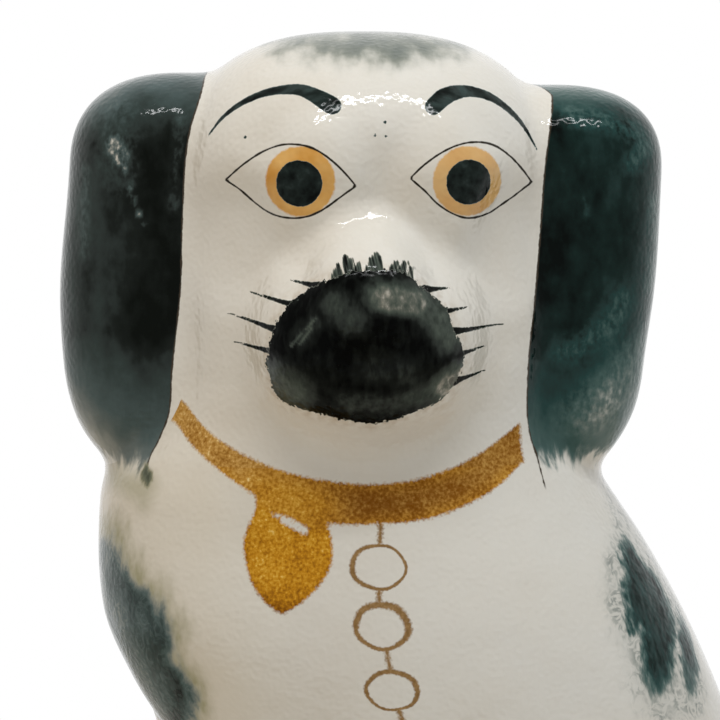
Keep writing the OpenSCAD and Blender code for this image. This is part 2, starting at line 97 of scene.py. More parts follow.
def blunt(out, most):
    """A swell that is rounded off before it stands out by more than the most."""
    return out / (1 + (out / most) ** 4) ** 0.25


def skin_reach(z, c, s):
    """Middle of a level cut through head and body, and the reach of its skin in the direction (c, s)."""
    left, right = curve(chest_side, z), curve(rump_side, z)
    half, middle = (right - left) / 2, (right + left) / 2
    n = curve(squareness, z)
    depth = np.where(s < 0, curve(front_side, z), curve(back_side, z))
    reach = (np.abs(c / half) ** n + np.abs(s / depth) ** n) ** (-1 / n)
    ax, ay, az = thigh_half
    for py in (-ay, ay):
        a = (c / ax) ** 2 + (s / ay) ** 2
        b = (middle - thigh_x) * c / ax ** 2 - py * s / ay ** 2
        e = ((middle - thigh_x) / ax) ** 2 + ((z - thigh_z) / az) ** 2
        far = np.where(b * b > a * e, (np.sqrt(np.maximum(b * b - a * e, 0)) - b) / a, 0)
        joint = np.maximum(0, thigh_soft - np.abs(reach - far)) ** 2 / (4 * thigh_soft)
        reach = np.maximum(reach, far) + joint
    x = middle + reach * c
    ax, ay, az = hind_paw_half
    paw_y = (np.abs(reach * s) - front_side[0][1]) / ay
    paw = swell(hind_paw_swell, (x - hind_paw_x) / ax, paw_y, z / az)
    face = sum(swell(out, (x - at_x) / half, (z - at_z) / np.where(z > at_z, rise, drop))
               for at_x, at_z, half, rise, drop, out in face_forms)
    return face_x + middle, reach + blunt(face, nose_out) * (s < 0) + blunt(paw, hind_paw_out)


def head_and_body(p):
    """Below 0 inside the clay form of head and body, 0 on its skin."""
    x, y, z = p.T
    off_axis = 1e-4  # a point on the axis itself has no direction
    across = x - face_x - (curve(chest_side, z) + curve(rump_side, z)) / 2 + off_axis
    out = np.hypot(across, y)
    reach = skin_reach(z, across / out, y / out)[1]
    dome = np.maximum((z - brow_z) / crown_rise, 0)
    return ((out / reach) ** crown_square + dome ** crown_square) ** (1 / crown_square) - 1


def measured(form, p, low=(-200, -200, -200), high=(200, 200, 400)):
    """Distance of points from the skin of a form and the direction away from it, in the room around it."""
    near = np.all((p > low) & (p < high), axis=1)
    d, away = np.full(len(p), 60.0), np.zeros_like(p)
    e = 0.2
    q = p[near]
    slope = np.stack([(form(q + k) - form(q - k)) / (2 * e) for k in np.eye(3) * e], axis=1)
    size = np.linalg.norm(slope, axis=1) + 1e-9
    d[near], away[near] = form(q) / size, slope / size[:, None]
    return d, away


# Ears: thick flaps of clay that hang from the crown, luted along the sides of the head.
# Their tips thin out on the shoulders. Left and right are the dog's own.
ear_tip_z, ear_shoulder, ear_round, ear_depth, ear_root, ear_into = 145.0, 18.5, 27.0, 44.0, 38.0, 12.0
ear_middle_y, ear_square, ear_end_square = -1.0, 2.67, 2.5
right_ear_room, left_ear_room = ((-120, -45, 130), (-40, 45, 260)), ((-5, -45, 130), (80, 45, 260))
right_ear_top_z, left_ear_top_z = 231.5, 229.0
right_ear_outline = [(145, 58.5), (160, 62), (185, 64), (209.5, 62), (231.5, 60.5)]
left_ear_outline = [(145, 51), (160, 56), (174, 58), (189, 60), (209, 61), (229, 61.5)]


def ear(side, top_z, outline, p):
    """Below 0 inside the clay form of an ear, 0 on its skin."""
    x, y, z = p.T
    u = side * (x - face_x) - ear_root
    wide = np.where(u > 0, curve(outline, z) - ear_root, ear_into)
    low = np.maximum((ear_tip_z + ear_round - z) / ear_round, 0)
    high = np.maximum((z - top_z + ear_shoulder) / ear_shoulder, 0)
    v = (y - ear_middle_y) / (ear_depth / 2)
    level = (np.abs(u / wide) ** ear_square + np.abs(v) ** ear_square) ** (1 / ear_square)
    sharp = ear_end_square
    return (level ** sharp + high ** sharp + low ** sharp) ** (1 / sharp) - 1


def right_ear(p):
    return ear(-1, right_ear_top_z, right_ear_outline, p)


def left_ear(p):
    return ear(1, left_ear_top_z, left_ear_outline, p)


# Forelegs: two solid legs of clay that stand clear of the belly, each on its own paw.
# They are pressed by themselves and luted under the chest with slip.
shin, leg_top_z, leg_top_round = 12.5, 88.0, 24.0
leg_long = [(0, 17), (4.5, 18), (10.5, 16.5), (17, 14), (27, 12.5), (121, 13.5)]
leg_wide = [(0, 13), (4.5, 14), (15, 12.5), (27, 11.5), (121, 13.5)]
left_stand, left_toes_turn = (-14, -26), 225
right_stand, right_toes_turn = (-30, 4), 200
left_leg_room, right_leg_room = ((-75, -65, -20), (-5, 10, 140)), ((-95, -30, -20), (-20, 45, 140))


def foreleg(stand, toes_turn, p):
    """Below 0 inside the clay form of a foreleg, 0 on its skin."""
    x, y, z = p[:, 0] - face_x - stand[0], p[:, 1] - stand[1], p[:, 2]
    c, s = math.cos(math.radians(toes_turn)), math.sin(math.radians(toes_turn))
    along, across = x * c + y * s, y * c - x * s
    a, b = curve(leg_long, z), curve(leg_wide, z)
    level = np.hypot((along - a + shin) / a, across / b)
    return np.hypot(level, np.maximum(z - leg_top_z, 0) / leg_top_round) - 1


def left_foreleg(p):
    return foreleg(left_stand, left_toes_turn, p)


def right_foreleg(p):
    return foreleg(right_stand, right_toes_turn, p)


# Tail: a roll of clay, from a thick root at the foot to a thin curled tip.
# It is laid on the left haunch and luted along its whole length.
tail_root_half, tail_taper = 8.0, 0.35
tail_t = np.linspace(0.03, 0.985, 27)
tail_z = curve([(0, 4), (0.35, 26), (0.6, 45.8), (0.85, 60), (1, 62)], tail_t)
tail_turn = np.radians(curve([(0, -33), (0.35, -28), (0.6, -33), (0.85, -45), (1, -56)], tail_t))
tail_middle, tail_reach = skin_reach(tail_z, np.cos(tail_turn), np.sin(tail_turn))
tail_path = np.stack([tail_middle + tail_reach * np.cos(tail_turn), tail_reach * np.sin(tail_turn), tail_z],
                     axis=1)
tail_half = tail_root_half * (1 - tail_taper * tail_t) * np.sqrt(
    1 - np.maximum(1 - tail_t / 0.14, 0) ** 2 - np.maximum((tail_t - 0.6) / 0.4, 0) ** 2)


def tail(p):
    """Distance from the roll of the tail, and the direction away from it."""
    best, away = np.full(len(p), 60.0), np.zeros_like(p)
    near = np.all((p > tail_path.min(axis=0) - 20) & (p < tail_path.max(axis=0) + 20), axis=1)
    q, d_near, away_near = p[near], best[near], away[near]
    for a, b, ra, rb in zip(tail_path, tail_path[1:], tail_half, tail_half[1:]):
        t = np.clip((q - a) @ (b - a) / ((b - a) @ (b - a)), 0, 1)
        off = q - a - t[:, None] * (b - a)
        d = np.linalg.norm(off, axis=1) + 1e-6
        closer = d - ra - t * (rb - ra) < d_near
        d_near[closer] = (d - ra - t * (rb - ra))[closer]
        away_near[closer] = (off / d[:, None])[closer]
    best[near], away[near] = d_near, away_near
    return best, away


# Luting: the leather-hard pieces are joined with slip, and the joints sponged to soft hollows.
# The result is one skin that the glaze later covers.
ear_hollow, leg_hollow, tail_hollow = 4, 8, 4


def luted(one, other, soft):
    """Union of two forms with a hollow of the given softness along the joint."""
    share = np.clip(0.5 + 0.5 * (other[0] - one[0]) / soft, 0, 1)
    d = share * one[0] + (1 - share) * other[0] - soft * share * (1 - share)
    return d, share[:, None] * one[1] + (1 - share)[:, None] * other[1]


def forms_at(p):
    """Distance from each clay form, and the direction away from it, with head and body first."""
    return [measured(head_and_body, p),
            measured(right_ear, p, *right_ear_room), measured(left_ear, p, *left_ear_room),
            measured(left_foreleg, p, *left_leg_room), measured(right_foreleg, p, *right_leg_room), tail(p)]


def clay(p):
    """Distance from the joined skin, and the direction away from it."""
    forms = forms_at(p)
    skin = forms[0]
    for form, soft in zip(forms[1:], (ear_hollow, ear_hollow, leg_hollow, leg_hollow, tail_hollow)):
        skin = luted(skin, form, soft)
    return skin


# Skin: the joined clay as a net of four-sided faces, settled on to the form, then cut back into its pieces
# along the mould seam, the neck joint and the luted joints.
step, snap = 2.0, 0.15
low = np.array([-91.0, -63.0, -5.0])
count = np.array([86, 59, 125])
cells = np.indices(count).reshape(3, -1).T * step + low
inside = (np.concatenate([clay(part)[0] for part in np.array_split(cells, 8)]) < 0).reshape(count)
corners = [inside[i:count[0] - 1 + i, j:count[1] - 1 + j, k:count[2] - 1 + k]
           for i, j, k in itertools.product((0, 1), repeat=3)]
crossed = np.any(corners, axis=0) & ~np.all(corners, axis=0)
number = np.full(crossed.shape, -1)
number[crossed] = np.arange(crossed.sum())
points = (np.argwhere(crossed) + 0.5) * step + low
rings = []
for axis in range(3):
    turn = np.diff(inside.astype(int), axis=axis)
    at = np.argwhere(turn)
    b, c = (axis + 1) % 3, (axis + 2) % 3
    at = at[(at[:, b] > 0) & (at[:, c] > 0) & (at[:, b] < count[b] - 1) & (at[:, c] < count[c] - 1)]
    ring = []
    for db, dc in ((0, 0), (-1, 0), (-1, -1), (0, -1)):
        cell = at.copy()
        cell[:, b] += db
        cell[:, c] += dc
        ring.append(number[tuple(cell.T)])
    ring = np.stack(ring, axis=1)
    inward = turn[tuple(at.T)] > 0
    ring[inward] = ring[inward][:, ::-1]
    rings.append(ring)
quads = np.concatenate(rings)


def in_joint(points):
    """Which directions a point can't move in, because it lies in a flat joint."""
    level = (np.abs(points[:, 2] - neck_z) < 1e-6) | (np.abs(points[:, 2]) < 1e-6)
    return np.stack([np.zeros(len(points), bool), points[:, 1] == 0, level], axis=1)


def settle(points, rounds):
    """Moves points on to the joined skin, inside the box of the part."""
    for _ in range(rounds):
        d, away = clay(points)
        away = np.where(in_joint(points), 0, away)
        points = points - d[:, None] * away / (np.sum(away * away, axis=1) + 0.05)[:, None]
    return np.clip(points, *(1000 * np.array(cad_box)))


def evened(points, quads):
    """Moves each point towards the middle of its neighbours."""
    total, many = np.zeros_like(points), np.zeros(len(points))
    for k in range(4):
        np.add.at(total, quads[:, k], points[quads[:, (k + 1) % 4]] + points[quads[:, k - 1]])
        np.add.at(many, quads[:, k], 2)
    return total / many[:, None]


def cut(points, faces, value):
    """Cuts faces along the line where a value, given for each point, is 0."""
    value = np.where(np.abs(value) < snap, 0, value)
    sign = np.sign(value).astype(int).tolist()
    points, made, parts = list(points), {}, []
    for face in faces:
        signs = [sign[k] for k in face]
        if min(signs) >= 0 or max(signs) <= 0:
            parts.append(face)
            continue
        above, below = [], []
        for a, b in zip(face, face[1:] + face[:1]):
            if sign[a] >= 0:
                above.append(a)
            if sign[a] <= 0:
                below.append(a)
            if sign[a] * sign[b] < 0:
                edge = (min(a, b), max(a, b))
                if edge not in made:
                    made[edge] = len(points)
                    points.append(points[a] + value[a] / (value[a] - value[b]) * (points[b] - points[a]))
                above.append(made[edge])
                below.append(made[edge])
        parts += [above, below]
    return np.array(points), parts


def finer(points, faces):
    """Cuts every face into one four-sided face for each of its corners. Also gives the edges in between."""
    size = np.array([len(f) for f in faces])
    corner = np.concatenate([np.asarray(f) for f in faces]) if isinstance(faces, list) else faces.ravel()
    face = np.repeat(np.arange(len(size)), size)
    start = np.repeat(np.cumsum(size) - size, size)
    place = np.arange(len(corner)) - start
    after = start + (place + 1) % size[face]
    before = start + (place - 1) % size[face]
    sides = np.sort(np.stack([corner, corner[after]], axis=1), axis=1)
    edges, where = np.unique(sides, axis=0, return_inverse=True)
    where = where.ravel() + len(points)
    middles = np.stack([np.bincount(face, points[corner, k]) for k in range(3)], axis=1) / size[:, None]
    centre = face + len(points) + len(edges)
    new = np.concatenate([points, points[edges].mean(axis=1), middles])
    return new, np.stack([corner, where, centre, where[before]], axis=1), edges


points = settle(points, 3)
for _ in range(3):
    points = settle(0.5 * points + 0.5 * evened(points, quads), 1)
faces = quads.tolist()
for axis, height in ((2, 0.0), (2, neck_z), (1, 0.0)):
    points, faces = cut(points, faces, points[:, axis] - height)
    points[np.abs(points[:, axis] - height) < snap, axis] = height
for k in range(1, 6):
    forms = forms_at(points)
    points, faces = cut(points, faces, forms[k][0] - forms[0][0])
points, quads, _ = finer(settle(points, 1), faces)
points = settle(points, 2)
middle = points[quads].mean(axis=1)
nearest = np.argmin([form[0] for form in forms_at(middle)], axis=0)
front, head = middle[:, 1] < 0, middle[:, 2] > neck_z


def piece(name, chosen, wall_thickness=0.0, rounds=1):
    """Closed mesh of one piece: its outer skin with an inner wall, or with its open ends filled."""
    kept, corner = np.unique(quads[chosen & (middle[:, 2] > 0)], return_inverse=True)
    outer, mesh_faces = points[kept], corner.reshape(-1, 4)
    pairs = np.stack([mesh_faces, np.roll(mesh_faces, -1, axis=1)], axis=2).reshape(-1, 2)
    twin = {(b, a) for a, b in pairs.tolist()}
    rim = [pair for pair in pairs.tolist() if tuple(pair) not in twin]
    away = np.where(in_joint(outer), 0, clay(outer)[1])
    inner = outer - wall_thickness * away / np.linalg.norm(away, axis=1)[:, None]
    skin_points, skin_faces, between = outer, mesh_faces, {}
    for _ in range(rounds - 1):
        skin_points, skin_faces, edges = finer(outer, mesh_faces)
        skin_points = settle(skin_points, 2)
        between = {tuple(edge): [len(outer) + k] for k, edge in enumerate(edges.tolist())}
    closing, first = [], len(skin_points)
    if wall_thickness:
        ends = inner
        closing += (mesh_faces[:, ::-1] + first).tolist()
        closing += [[b] + between.get((min(a, b), max(a, b)), []) + [a, a + first, b + first] for a, b in rim]
    else:
        loops, follow = [], dict(rim)
        while follow:
            loop = [next(iter(follow))]
            while loop[-1] in follow:
                loop.append(follow.pop(loop[-1]))
            loops.append(loop[:-1])
        ends = np.array([outer[loop].mean(axis=0) for loop in loops])
        closing += [[b, a, first + k] for k, loop in enumerate(loops)
                    for a, b in zip(loop, loop[1:] + loop[:1])]
    mesh = bpy.data.meshes.new(name)
    mesh.from_pydata((np.concatenate([skin_points, ends]) / 1000).tolist(), [], skin_faces.tolist() + closing)
    mesh.polygons.foreach_set("use_smooth", [True] * len(mesh.polygons))
    mesh.update()
    away = clay(skin_points)[1]
    away /= np.linalg.norm(away, axis=1)[:, None]
    flat = np.zeros(3 * len(mesh.polygons))
    mesh.polygons.foreach_get("normal", flat)
    sizes = [4] * len(skin_faces) + [len(f) for f in closing]
    normals = np.repeat(flat.reshape(-1, 3), sizes, axis=0)
    normals[:4 * len(skin_faces)] = away[skin_faces.ravel()]
    mesh.normals_split_custom_set(normals.tolist())
    made = bpy.data.objects.new(name, mesh)
    bpy.context.collection.objects.link(made)
    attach(made, "root")
    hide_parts(name)
    return made, np.concatenate([skin_points, ends])


def mark(made, name, value):
    """Stores a value for every point of a piece."""
    kept = np.clip(value, -9, 9).astype(np.float32)
    made.data.attributes.new(name, "FLOAT", "POINT").data.foreach_set("value", kept)


# Glaze: a clear lead glaze over the white earthenware, glossy with a fine uneven surface.
# The enamels and the gilding are brushed on the glaze and fired on at a lower heat.
def node(tree, kind, inputs=(), out=0, **settings):
    """Adds a shader node with its inputs set or linked, and gives one of its outputs."""
    made = tree.nodes.new("ShaderNode" + kind)
    for key, value in settings.items():
        setattr(made, key, value)
    for key, value in dict(inputs).items():
        if isinstance(value, bpy.types.NodeSocket):
            tree.links.new(value, made.inputs[key])
        else:
            made.inputs[key].default_value = value
    return made.outputs[out]


def sums(tree, operation, *values):
    return node(tree, "Math", enumerate(values), operation=operation)


def times(tree, one, other):
    return sums(tree, "MULTIPLY", one, other)


def noise(tree, place, per_mm, detail=2.0, stretch=None):
    """Noise from 0 to 1 with so many waves to the millimetre."""
    if stretch:
        place = node(tree, "Mapping", {"Vector": place, "Scale": stretch})
    return node(tree, "TexNoise", {"Vector": place, "Scale": per_mm, "Detail": detail}, noise_dimensions="3D")


def band(tree, value, start, end):
    """0 before start and 1 after end, with a soft change between them."""
    return node(tree, "MapRange", {"Value": value, 1: start, 2: end}, interpolation_type="SMOOTHSTEP")


def mixed(tree, share, one, other):
    return node(tree, "Mix", {0: share, 6: one, 7: other}, out=2, data_type="RGBA")


def colour(code):
    """Linear colour of a web colour code."""
    parts = [int(code[k:k + 2], 16) / 255 for k in (0, 2, 4)]
    return tuple(p / 12.92 if p < 0.04045 else ((p + 0.055) / 1.055) ** 2.4 for p in parts) + (1.0,)


def ramp(tree, value, *stops):
    made = tree.nodes.new("ShaderNodeValToRGB")
    tree.links.new(value, made.inputs[0])
    while len(made.color_ramp.elements) < len(stops):
        made.color_ramp.elements.new(0.5)
    for element, (at, code) in zip(made.color_ramp.elements, stops):
        element.position, element.color = at, colour(code)
    return made.outputs[0]


def glazed(name):
    """Material of glazed white earthenware: its node tree, its place in millimetres and its colour so far."""
    material = bpy.data.materials.new(name)
    material.use_nodes = True
    tree = material.node_tree
    place = node(tree, "Mapping", {"Vector": node(tree, "TexCoord", out=3), "Scale": (1000, 1000, 1000)})
    fine = times(tree, noise(tree, place, 0.9), 0.12)
    cloud = sums(tree, "ADD", noise(tree, place, 0.03, 3.0), fine)
    white = ramp(tree, cloud, (0.3, "ddd6c9"), (0.55, "e4e0d6"), (0.8, "e6e4dd"))
    return material, tree, place, white


def stored(tree, name):
    return node(tree, "Attribute", out=2, attribute_name=name)


def streaks(tree, place, per_mm, stretch, low, high):
    """Paint load between low and high, uneven like brush marks."""
    marks = noise(tree, place, per_mm, 4.0, stretch)
    return node(tree, "MapRange", {"Value": marks, 1: 0.3, 2: 0.7, 3: low, 4: high})


green_black = ("bcbeb6", "878e89", "4e6160", "2c3f3c", "12201c", "050907")


def enamelled(tree, place, under, depth, load=1.0, soft=0.2, rough=0.15, grain=1.1, codes=green_black,
              stretch=None):
    """Enamel where depth, in mm, is above 0. Where the load is low, the white shows through."""
    edge = sums(tree, "MULTIPLY_ADD", noise(tree, place, grain, 3.0, stretch), 2 * rough, -rough)
    cover = band(tree, sums(tree, "ADD", depth, edge), -soft, soft)
    load = times(tree, cover, load)
    paint = ramp(tree, load, *zip((0.0, 0.25, 0.5, 0.7, 0.86, 1.0), codes))
    return mixed(tree, band(tree, load, 0.0, 0.4), under, paint)


def fired(tree, place, colour_now, gold=None):
    """Joins the finished colour to the glossy glaze. Dark enamel and gold shine less than the white."""
    grain = noise(tree, place, 0.9, 0.0)
    wave = noise(tree, place, 0.1, 1.0)
    height = sums(tree, "MULTIPLY_ADD", wave, 4.0, grain)
    bump = node(tree, "Bump", {"Strength": 1.0, "Distance": 0.0001, "Height": height})
    shader = tree.nodes["Principled BSDF"]
    tree.links.new(colour_now, shader.inputs["Base Color"])
    tree.links.new(bump, shader.inputs["Normal"])
    bright = node(tree, "RGBToBW", {"Color": colour_now})
    deep = node(tree, "MapRange", {"Value": bright, 1: 0.001, 2: 0.02, 3: 0.03, 4: 0.18})
    pale = node(tree, "MapRange", {"Value": bright, 1: 0.35, 2: 0.65, 3: 0.0, 4: 0.25})
    shine = sums(tree, "ADD", deep, pale)
    shader.inputs["Roughness"].default_value = 0.09
    if gold is not None:
        shine = times(tree, shine, sums(tree, "MULTIPLY_ADD", gold, -0.8, 1.0))
        tree.links.new(times(tree, gold, 0.1), shader.inputs["Metallic"])
        tree.links.new(sums(tree, "MULTIPLY_ADD", gold, 0.15, 0.09), shader.inputs["Roughness"])
    tree.links.new(shine, shader.inputs["Specular IOR Level"])


# Head: two pressed halves, white under the glaze, with a thin grey wash brushed on the crown.
# The front half carries the face in fired enamel, its left and right as seen from the front: almond eyes
# with ochre irises, arched brows, and a black muzzle with whiskers.
# On the black muzzle, highlights and the reflection of the chest are painted in as lighter black.
def line(stations, count=40):
    """Smooth line through points."""
    t = np.linspace(0, len(stations) - 1, count)
    return np.stack([curve(list(enumerate(v)), t) for v in zip(*stations)], axis=1)


def stroke(at, path, half):
    """How deep points lie inside a brush stroke whose half width changes along it."""
    half = np.interp(np.linspace(0, 1, len(path)), np.linspace(0, 1, len(half)), half)
    depth = np.full(len(at), -9.0)
    for a, b, ra, rb in zip(path, path[1:], half, half[1:]):
        t = np.clip((at - a) @ (b - a) / ((b - a) @ (b - a)), 0, 1)
        depth = np.maximum(depth, ra + t * (rb - ra) - np.linalg.norm(at - a - t[:, None] * (b - a), axis=1))
    return depth


def area(at, rim):
    """How deep points lie inside a closed outline, below 0 outside it."""
    inside, near = np.zeros(len(at), bool), np.full(len(at), 99.0)
    x, z = at.T
    for a, b in zip(rim, np.roll(rim, -1, axis=0)):
        t = np.clip((at - a) @ (b - a) / ((b - a) @ (b - a) + 1e-9), 0, 1)
        near = np.minimum(near, np.linalg.norm(at - a - t[:, None] * (b - a), axis=1))
        inside ^= ((a[1] > z) != (b[1] > z)) & (x < (b[0] - a[0]) * (z - a[1]) / (b[1] - a[1] + 1e-12) + a[0])
    return np.where(inside, near, -near)


left_brow = [(-31.8, 218.7), (-29, 222.3), (-25.3, 225.1), (-20.9, 227.1), (-16.9, 227.9), (-13.3, 227.9),
             (-10.2, 226.7), (-7.8, 225.3), (-6.8, 224.8)]
right_brow = [(34.1, 215.9), (31.4, 220.5), (28.5, 223.7), (24.8, 226.3), (21.1, 227.5), (17.9, 227.5),
              (15.1, 226.5), (12.9, 224.7)]
brow_half = (0.1, 0.3, 0.5, 0.65, 0.85, 1.1, 1.45, 1.75, 1.65)
left_eye = [(-28.2, 210.1), (-24.6, 213.2), (-20.8, 215.7), (-17.2, 217.1), (-13.8, 217.3), (-10.3, 216.4),
            (-7, 214.2), (-4.2, 211.5), (-2.3, 209.2)]
left_lid = [(-2.3, 209.2), (-5.8, 206.7), (-8.9, 204.5), (-12, 203.2), (-15.2, 202.9), (-18.8, 203.6),
            (-22, 205.5), (-25.2, 208.2), (-28.2, 210.1)]
right_eye = [(8.3, 210.7), (11, 213.3), (14.6, 215.8), (18.2, 217.3), (21.6, 217.7), (25, 217), (28.3, 214.8),
             (31, 212), (32.9, 209.5)]
right_lid = [(32.9, 209.5), (29.9, 207.3), (27, 205.4), (23.8, 203.5), (20.1, 202.8), (17, 203.6),
             (13.8, 205.6), (11, 208.4), (8.3, 210.7)]
irises = (((-13.2, 210.1), 6.9), ((19.6, 210.1), 6.9))
pupils = (((-13.4, 209.7), 4.5), ((19.8, 209.9), 4.4))
muzzle_rim = [(-19.9, 174.6), (-18.2, 181.6), (-14.1, 187.5), (-7.5, 191.5), (-1.5, 193.2), (6.2, 193),
              (10.3, 190), (15, 186), (16.5, 182.1), (18.8, 176), (15.5, 168.6), (9.2, 165.2), (1.2, 163),
              (-9.3, 164.8), (-17.4, 167.5), (-19.9, 174.6)]
whisker_half = (0.95, 0.5, 0.32, 0.2, 0.08)
whiskers = [((-9.5, 190.1), (-15, 190.9)), ((-13, 186.1), (-23.3, 188.1)), ((-16.6, 181.2), (-28, 183.7)),
            ((-17.6, 177), (-26.6, 178)), ((11, 189.4), (16.1, 189.4)), ((14, 185), (19.6, 185.6)),
            ((15.6, 181.2), (27, 181.5)), ((17, 176.5), (23.4, 177.7)), ((16.8, 171.2), (23.3, 172.6))]
bristles = [((-6.4, 191), (-5.7, 194)), ((-5.2, 191), (-4.2, 195.6)), ((-4.2, 191.4), (-3.2, 195.2)),
            ((-2.2, 192), (-1.6, 194.6)), ((0.2, 192), (0.6, 195.2)), ((1, 192), (1.6, 196.2)),
            ((1.9, 192), (2.3, 195.6)), ((4.5, 192.2), (5.4, 194.6)), ((6.2, 192), (7.2, 194.4)),
            ((7.8, 191.4), (8.5, 193.4))]
# Where the black is made lighter, as painted highlights on the upper muzzle and painted reflection of the
# chest on the lower lip: middle line, half width, how soft its edge is and the most taken off
muzzle_light_strokes = [([(2, 188.6), (8, 188), (12, 185.4), (16, 180)], 1.2, 3.5, 0.42),
                ([(3, 188.2), (9.4, 187)], 1.8, 2.0, 0.6),
                ([(-14.8, 178.6), (-12.8, 181)], 0.05, 0.5, 0.5),
                ([(-13.2, 179), (-10.8, 182.2)], 0.05, 0.5, 0.5),
                ([(-12, 181.8), (-9.8, 184.2)], 0.05, 0.5, 0.5),
                ([(-13, 180), (-10, 183.4)], 0.4, 2.5, 0.2),
                ([(-6, 186.4), (-3, 184)], 1.6, 2.8, 0.28),
                ([(-19, 172.6), (-14, 169)], 1.2, 4.0, 0.26),
                ([(15, 170), (18.4, 172.8)], 1.0, 3.0, 0.55),
                ([(1, 174.4), (7, 173.4)], 1.0, 4.0, 0.13),
                ([(-4, 167.2), (4, 167.2), (13, 169.4)], 0.8, 2.6, 0.2)]
# Line across the muzzle below which the painted reflection of the chest makes the black lighter
muzzle_arch = [(-30, 171.5), (-19.5, 174.3), (-13, 175.8), (0, 176.5), (11.9, 175.8), (18.4, 174),
               (30, 170.5)]
specks, speck_half = [(3.4, 221.6), (3.6, 218.9), (1.4, 219.1), (-24.2, 218.6)], 0.3
crown_line = [(-27, 241), (-22, 237.5), (-17.6, 235.9), (-9.5, 234.6), (-1.5, 233.4), (6.5, 233.4),
              (14.5, 235.1), (20.4, 235.6), (26, 241)]
nape_wash_z, nape_blend = 231, 20
right_ear_line = [(145, -46.5), (153.7, -44.1), (157.7, -42.1), (163, -40.2), (171.4, -39.6), (187.6, -37.8),
                  (199.8, -37.4), (212.9, -36.7), (219.9, -35.7), (229, -33.4), (240, -33.4)]
left_ear_line = [(145, 36.6), (154.3, 34.2), (157.9, 33), (162, 32.3), (167.7, 32.2), (175.9, 32.6),
                 (185.8, 33.7), (199.8, 34.9), (211.8, 35.7), (219.8, 36.8), (225.8, 37.6), (240, 37.6)]
right_tip_z, left_tip_z = 151.2, 153
# Painted shade below the head: how much darker colour is mixed in, the height where it begins, and how far
# below that it is full
shade_share, shade_z, shade_blend = 0.28, 168, 20
collar_right_end, collar_left_end = -61, 47.5
collar_top = [(-60, 166.5), (-47, 159.9), (-34, 155.1), (-20, 151.8), (-1, 150.1), (16, 151.2), (32, 155),
              (47, 161.2)]
collar_low = [(-60, 161.2), (-39, 151.4), (-29.5, 147.4), (-12, 142.8), (3.6, 142.5), (17.4, 143.5),
              (33.7, 147.7), (47, 153.4)]
# Where the ears' coat is made lighter, as painted highlights and painted sheen on the right ear and streaks
# brushed thin on the left: middle line, half width, how soft its edge is and the most taken off
ear_sheen_and_wipes = [([(-51, 216.8), (-50.4, 215.6), (-49.8, 214.4)], 1.5, 1.2, 0.5),
             ([(-50.8, 222), (-50.4, 216), (-50, 212)], 3.0, 3.5, 0.12),
             ([(-49.1, 212.4), (-47.9, 207.8), (-46.5, 204.2), (-45.3, 201.1)], 0.1, 0.35, 0.5),
             ([(-57.2, 212), (-57.7, 204), (-57.4, 194.8)], 0.3, 1.6, 0.17),
             ([(-37.6, 222), (-38.2, 214), (-39, 204)], 0.6, 1.6, 0.14),
             ([(40.2, 175), (45.1, 177.4), (49.6, 181.2), (51.5, 185.2)], 0.8, 3.5, 0.2),
             ([(43.2, 162.7), (47.3, 165.1), (51.5, 168.6), (55, 174.4)], 2.0, 5.0, 0.17),
             ([(58.9, 205), (59.5, 197), (58.5, 188)], 0.5, 2.0, 0.25),
             ([(41, 222.6), (48.5, 221.4), (53.3, 219.6), (56, 216.3), (54, 213)], 0.8, 2.4, 0.22),
             ([(44.2, 206), (44.1, 203)], 0.3, 1.3, 0.13)]


def face_view(p):
    """Points as seen from the front, from the middle of the face."""
    return p[:, [0, 2]] - (face_x, 0)


def share(value, start, end):
    """0 before start and 1 after end, with an even rise between them."""
    return np.clip((value - start) / (end - start), 0, 1)


def ear_coat(p):
    """How deep points lie inside the black coat of the ears."""
    x, y, z = p[:, 0] - face_x, p[:, 1], p[:, 2]
    forms = forms_at(p)
    drawn = np.maximum(curve(right_ear_line, z) - x, x - curve(left_ear_line, z))
    luted_side = forms[0][0] - np.minimum(forms[1][0], forms[2][0])
    return drawn + share(y, -14, -2) * (luted_side - drawn)


def ear_load_and_sheen(p):
    """How thick the coat is: thin towards the tips, and lighter along the top and at the outer edges as
    painted sheen.
    """
    x, z = face_view(p).T
    right = (1 - 0.3 * share(-x, 46, 62) - 0.12 * share(z, 217, 221) - 0.35 * share(z, 221, 230)
             - 0.2 * share(-z, -179, -171) - 0.34 * share(-z, -171, -155))
    left = (1 - 0.02 * share(z, 197, 206) - 0.05 * share(x, 40, 48) - 0.2 * share(x, 52, 61)
            - 0.4 * share(z, 222, 227) - 0.1 * share(-z, -192, -184) * share(x, 41, 48)
            - 0.44 * share(-z, -180, -158))
    return np.where(x < 0, right, left)


def lightened(at, strokes):
    """How much lighter the paint is made along some strokes: painted highlights, painted sheen and paint
    brushed thin.
    """
    taken = [most * share(stroke(at, line(path, 12), (half,)), -soft, 0)
             for path, half, soft, most in strokes]
    return np.max(taken, axis=0)


def mark_coat(made, p):
    """Stores what the ears' coat and the painted shade of the lower body need on any piece."""
    mark(made, "coat", ear_coat(p))
    mark(made, "coat_load_and_sheen", ear_load_and_sheen(p))
    mark(made, "coat_sheen_and_wipe", lightened(face_view(p), ear_sheen_and_wipes) * share(-p[:, 1], 2, 14))
    mark(made, "coat_tip", p[:, 2] - np.where(p[:, 0] < face_x, right_tip_z, left_tip_z))
    mark(made, "painted_shade", shade_share * share(shade_z - p[:, 2], 0, shade_blend))


grey_black = ("bcbeb6", "878c87", "495a5a", "2a3835", "121915", "070c07")
teal_black = ("bcbeb6", "828e89", "45615d", "0f3b38", "03201c", "040b09")


def painted_shade(tree, place, under):
    """Painted shade on the lower body and the legs, warm and brownish on the dog's right side."""
    side = band(tree, node(tree, "SeparateXYZ", {0: place}), -56.0, -31.0)
    shade_colour = mixed(tree, side, colour("c6b798"), colour("c8cac8"))
    return mixed(tree, stored(tree, "painted_shade"), under, shade_colour)


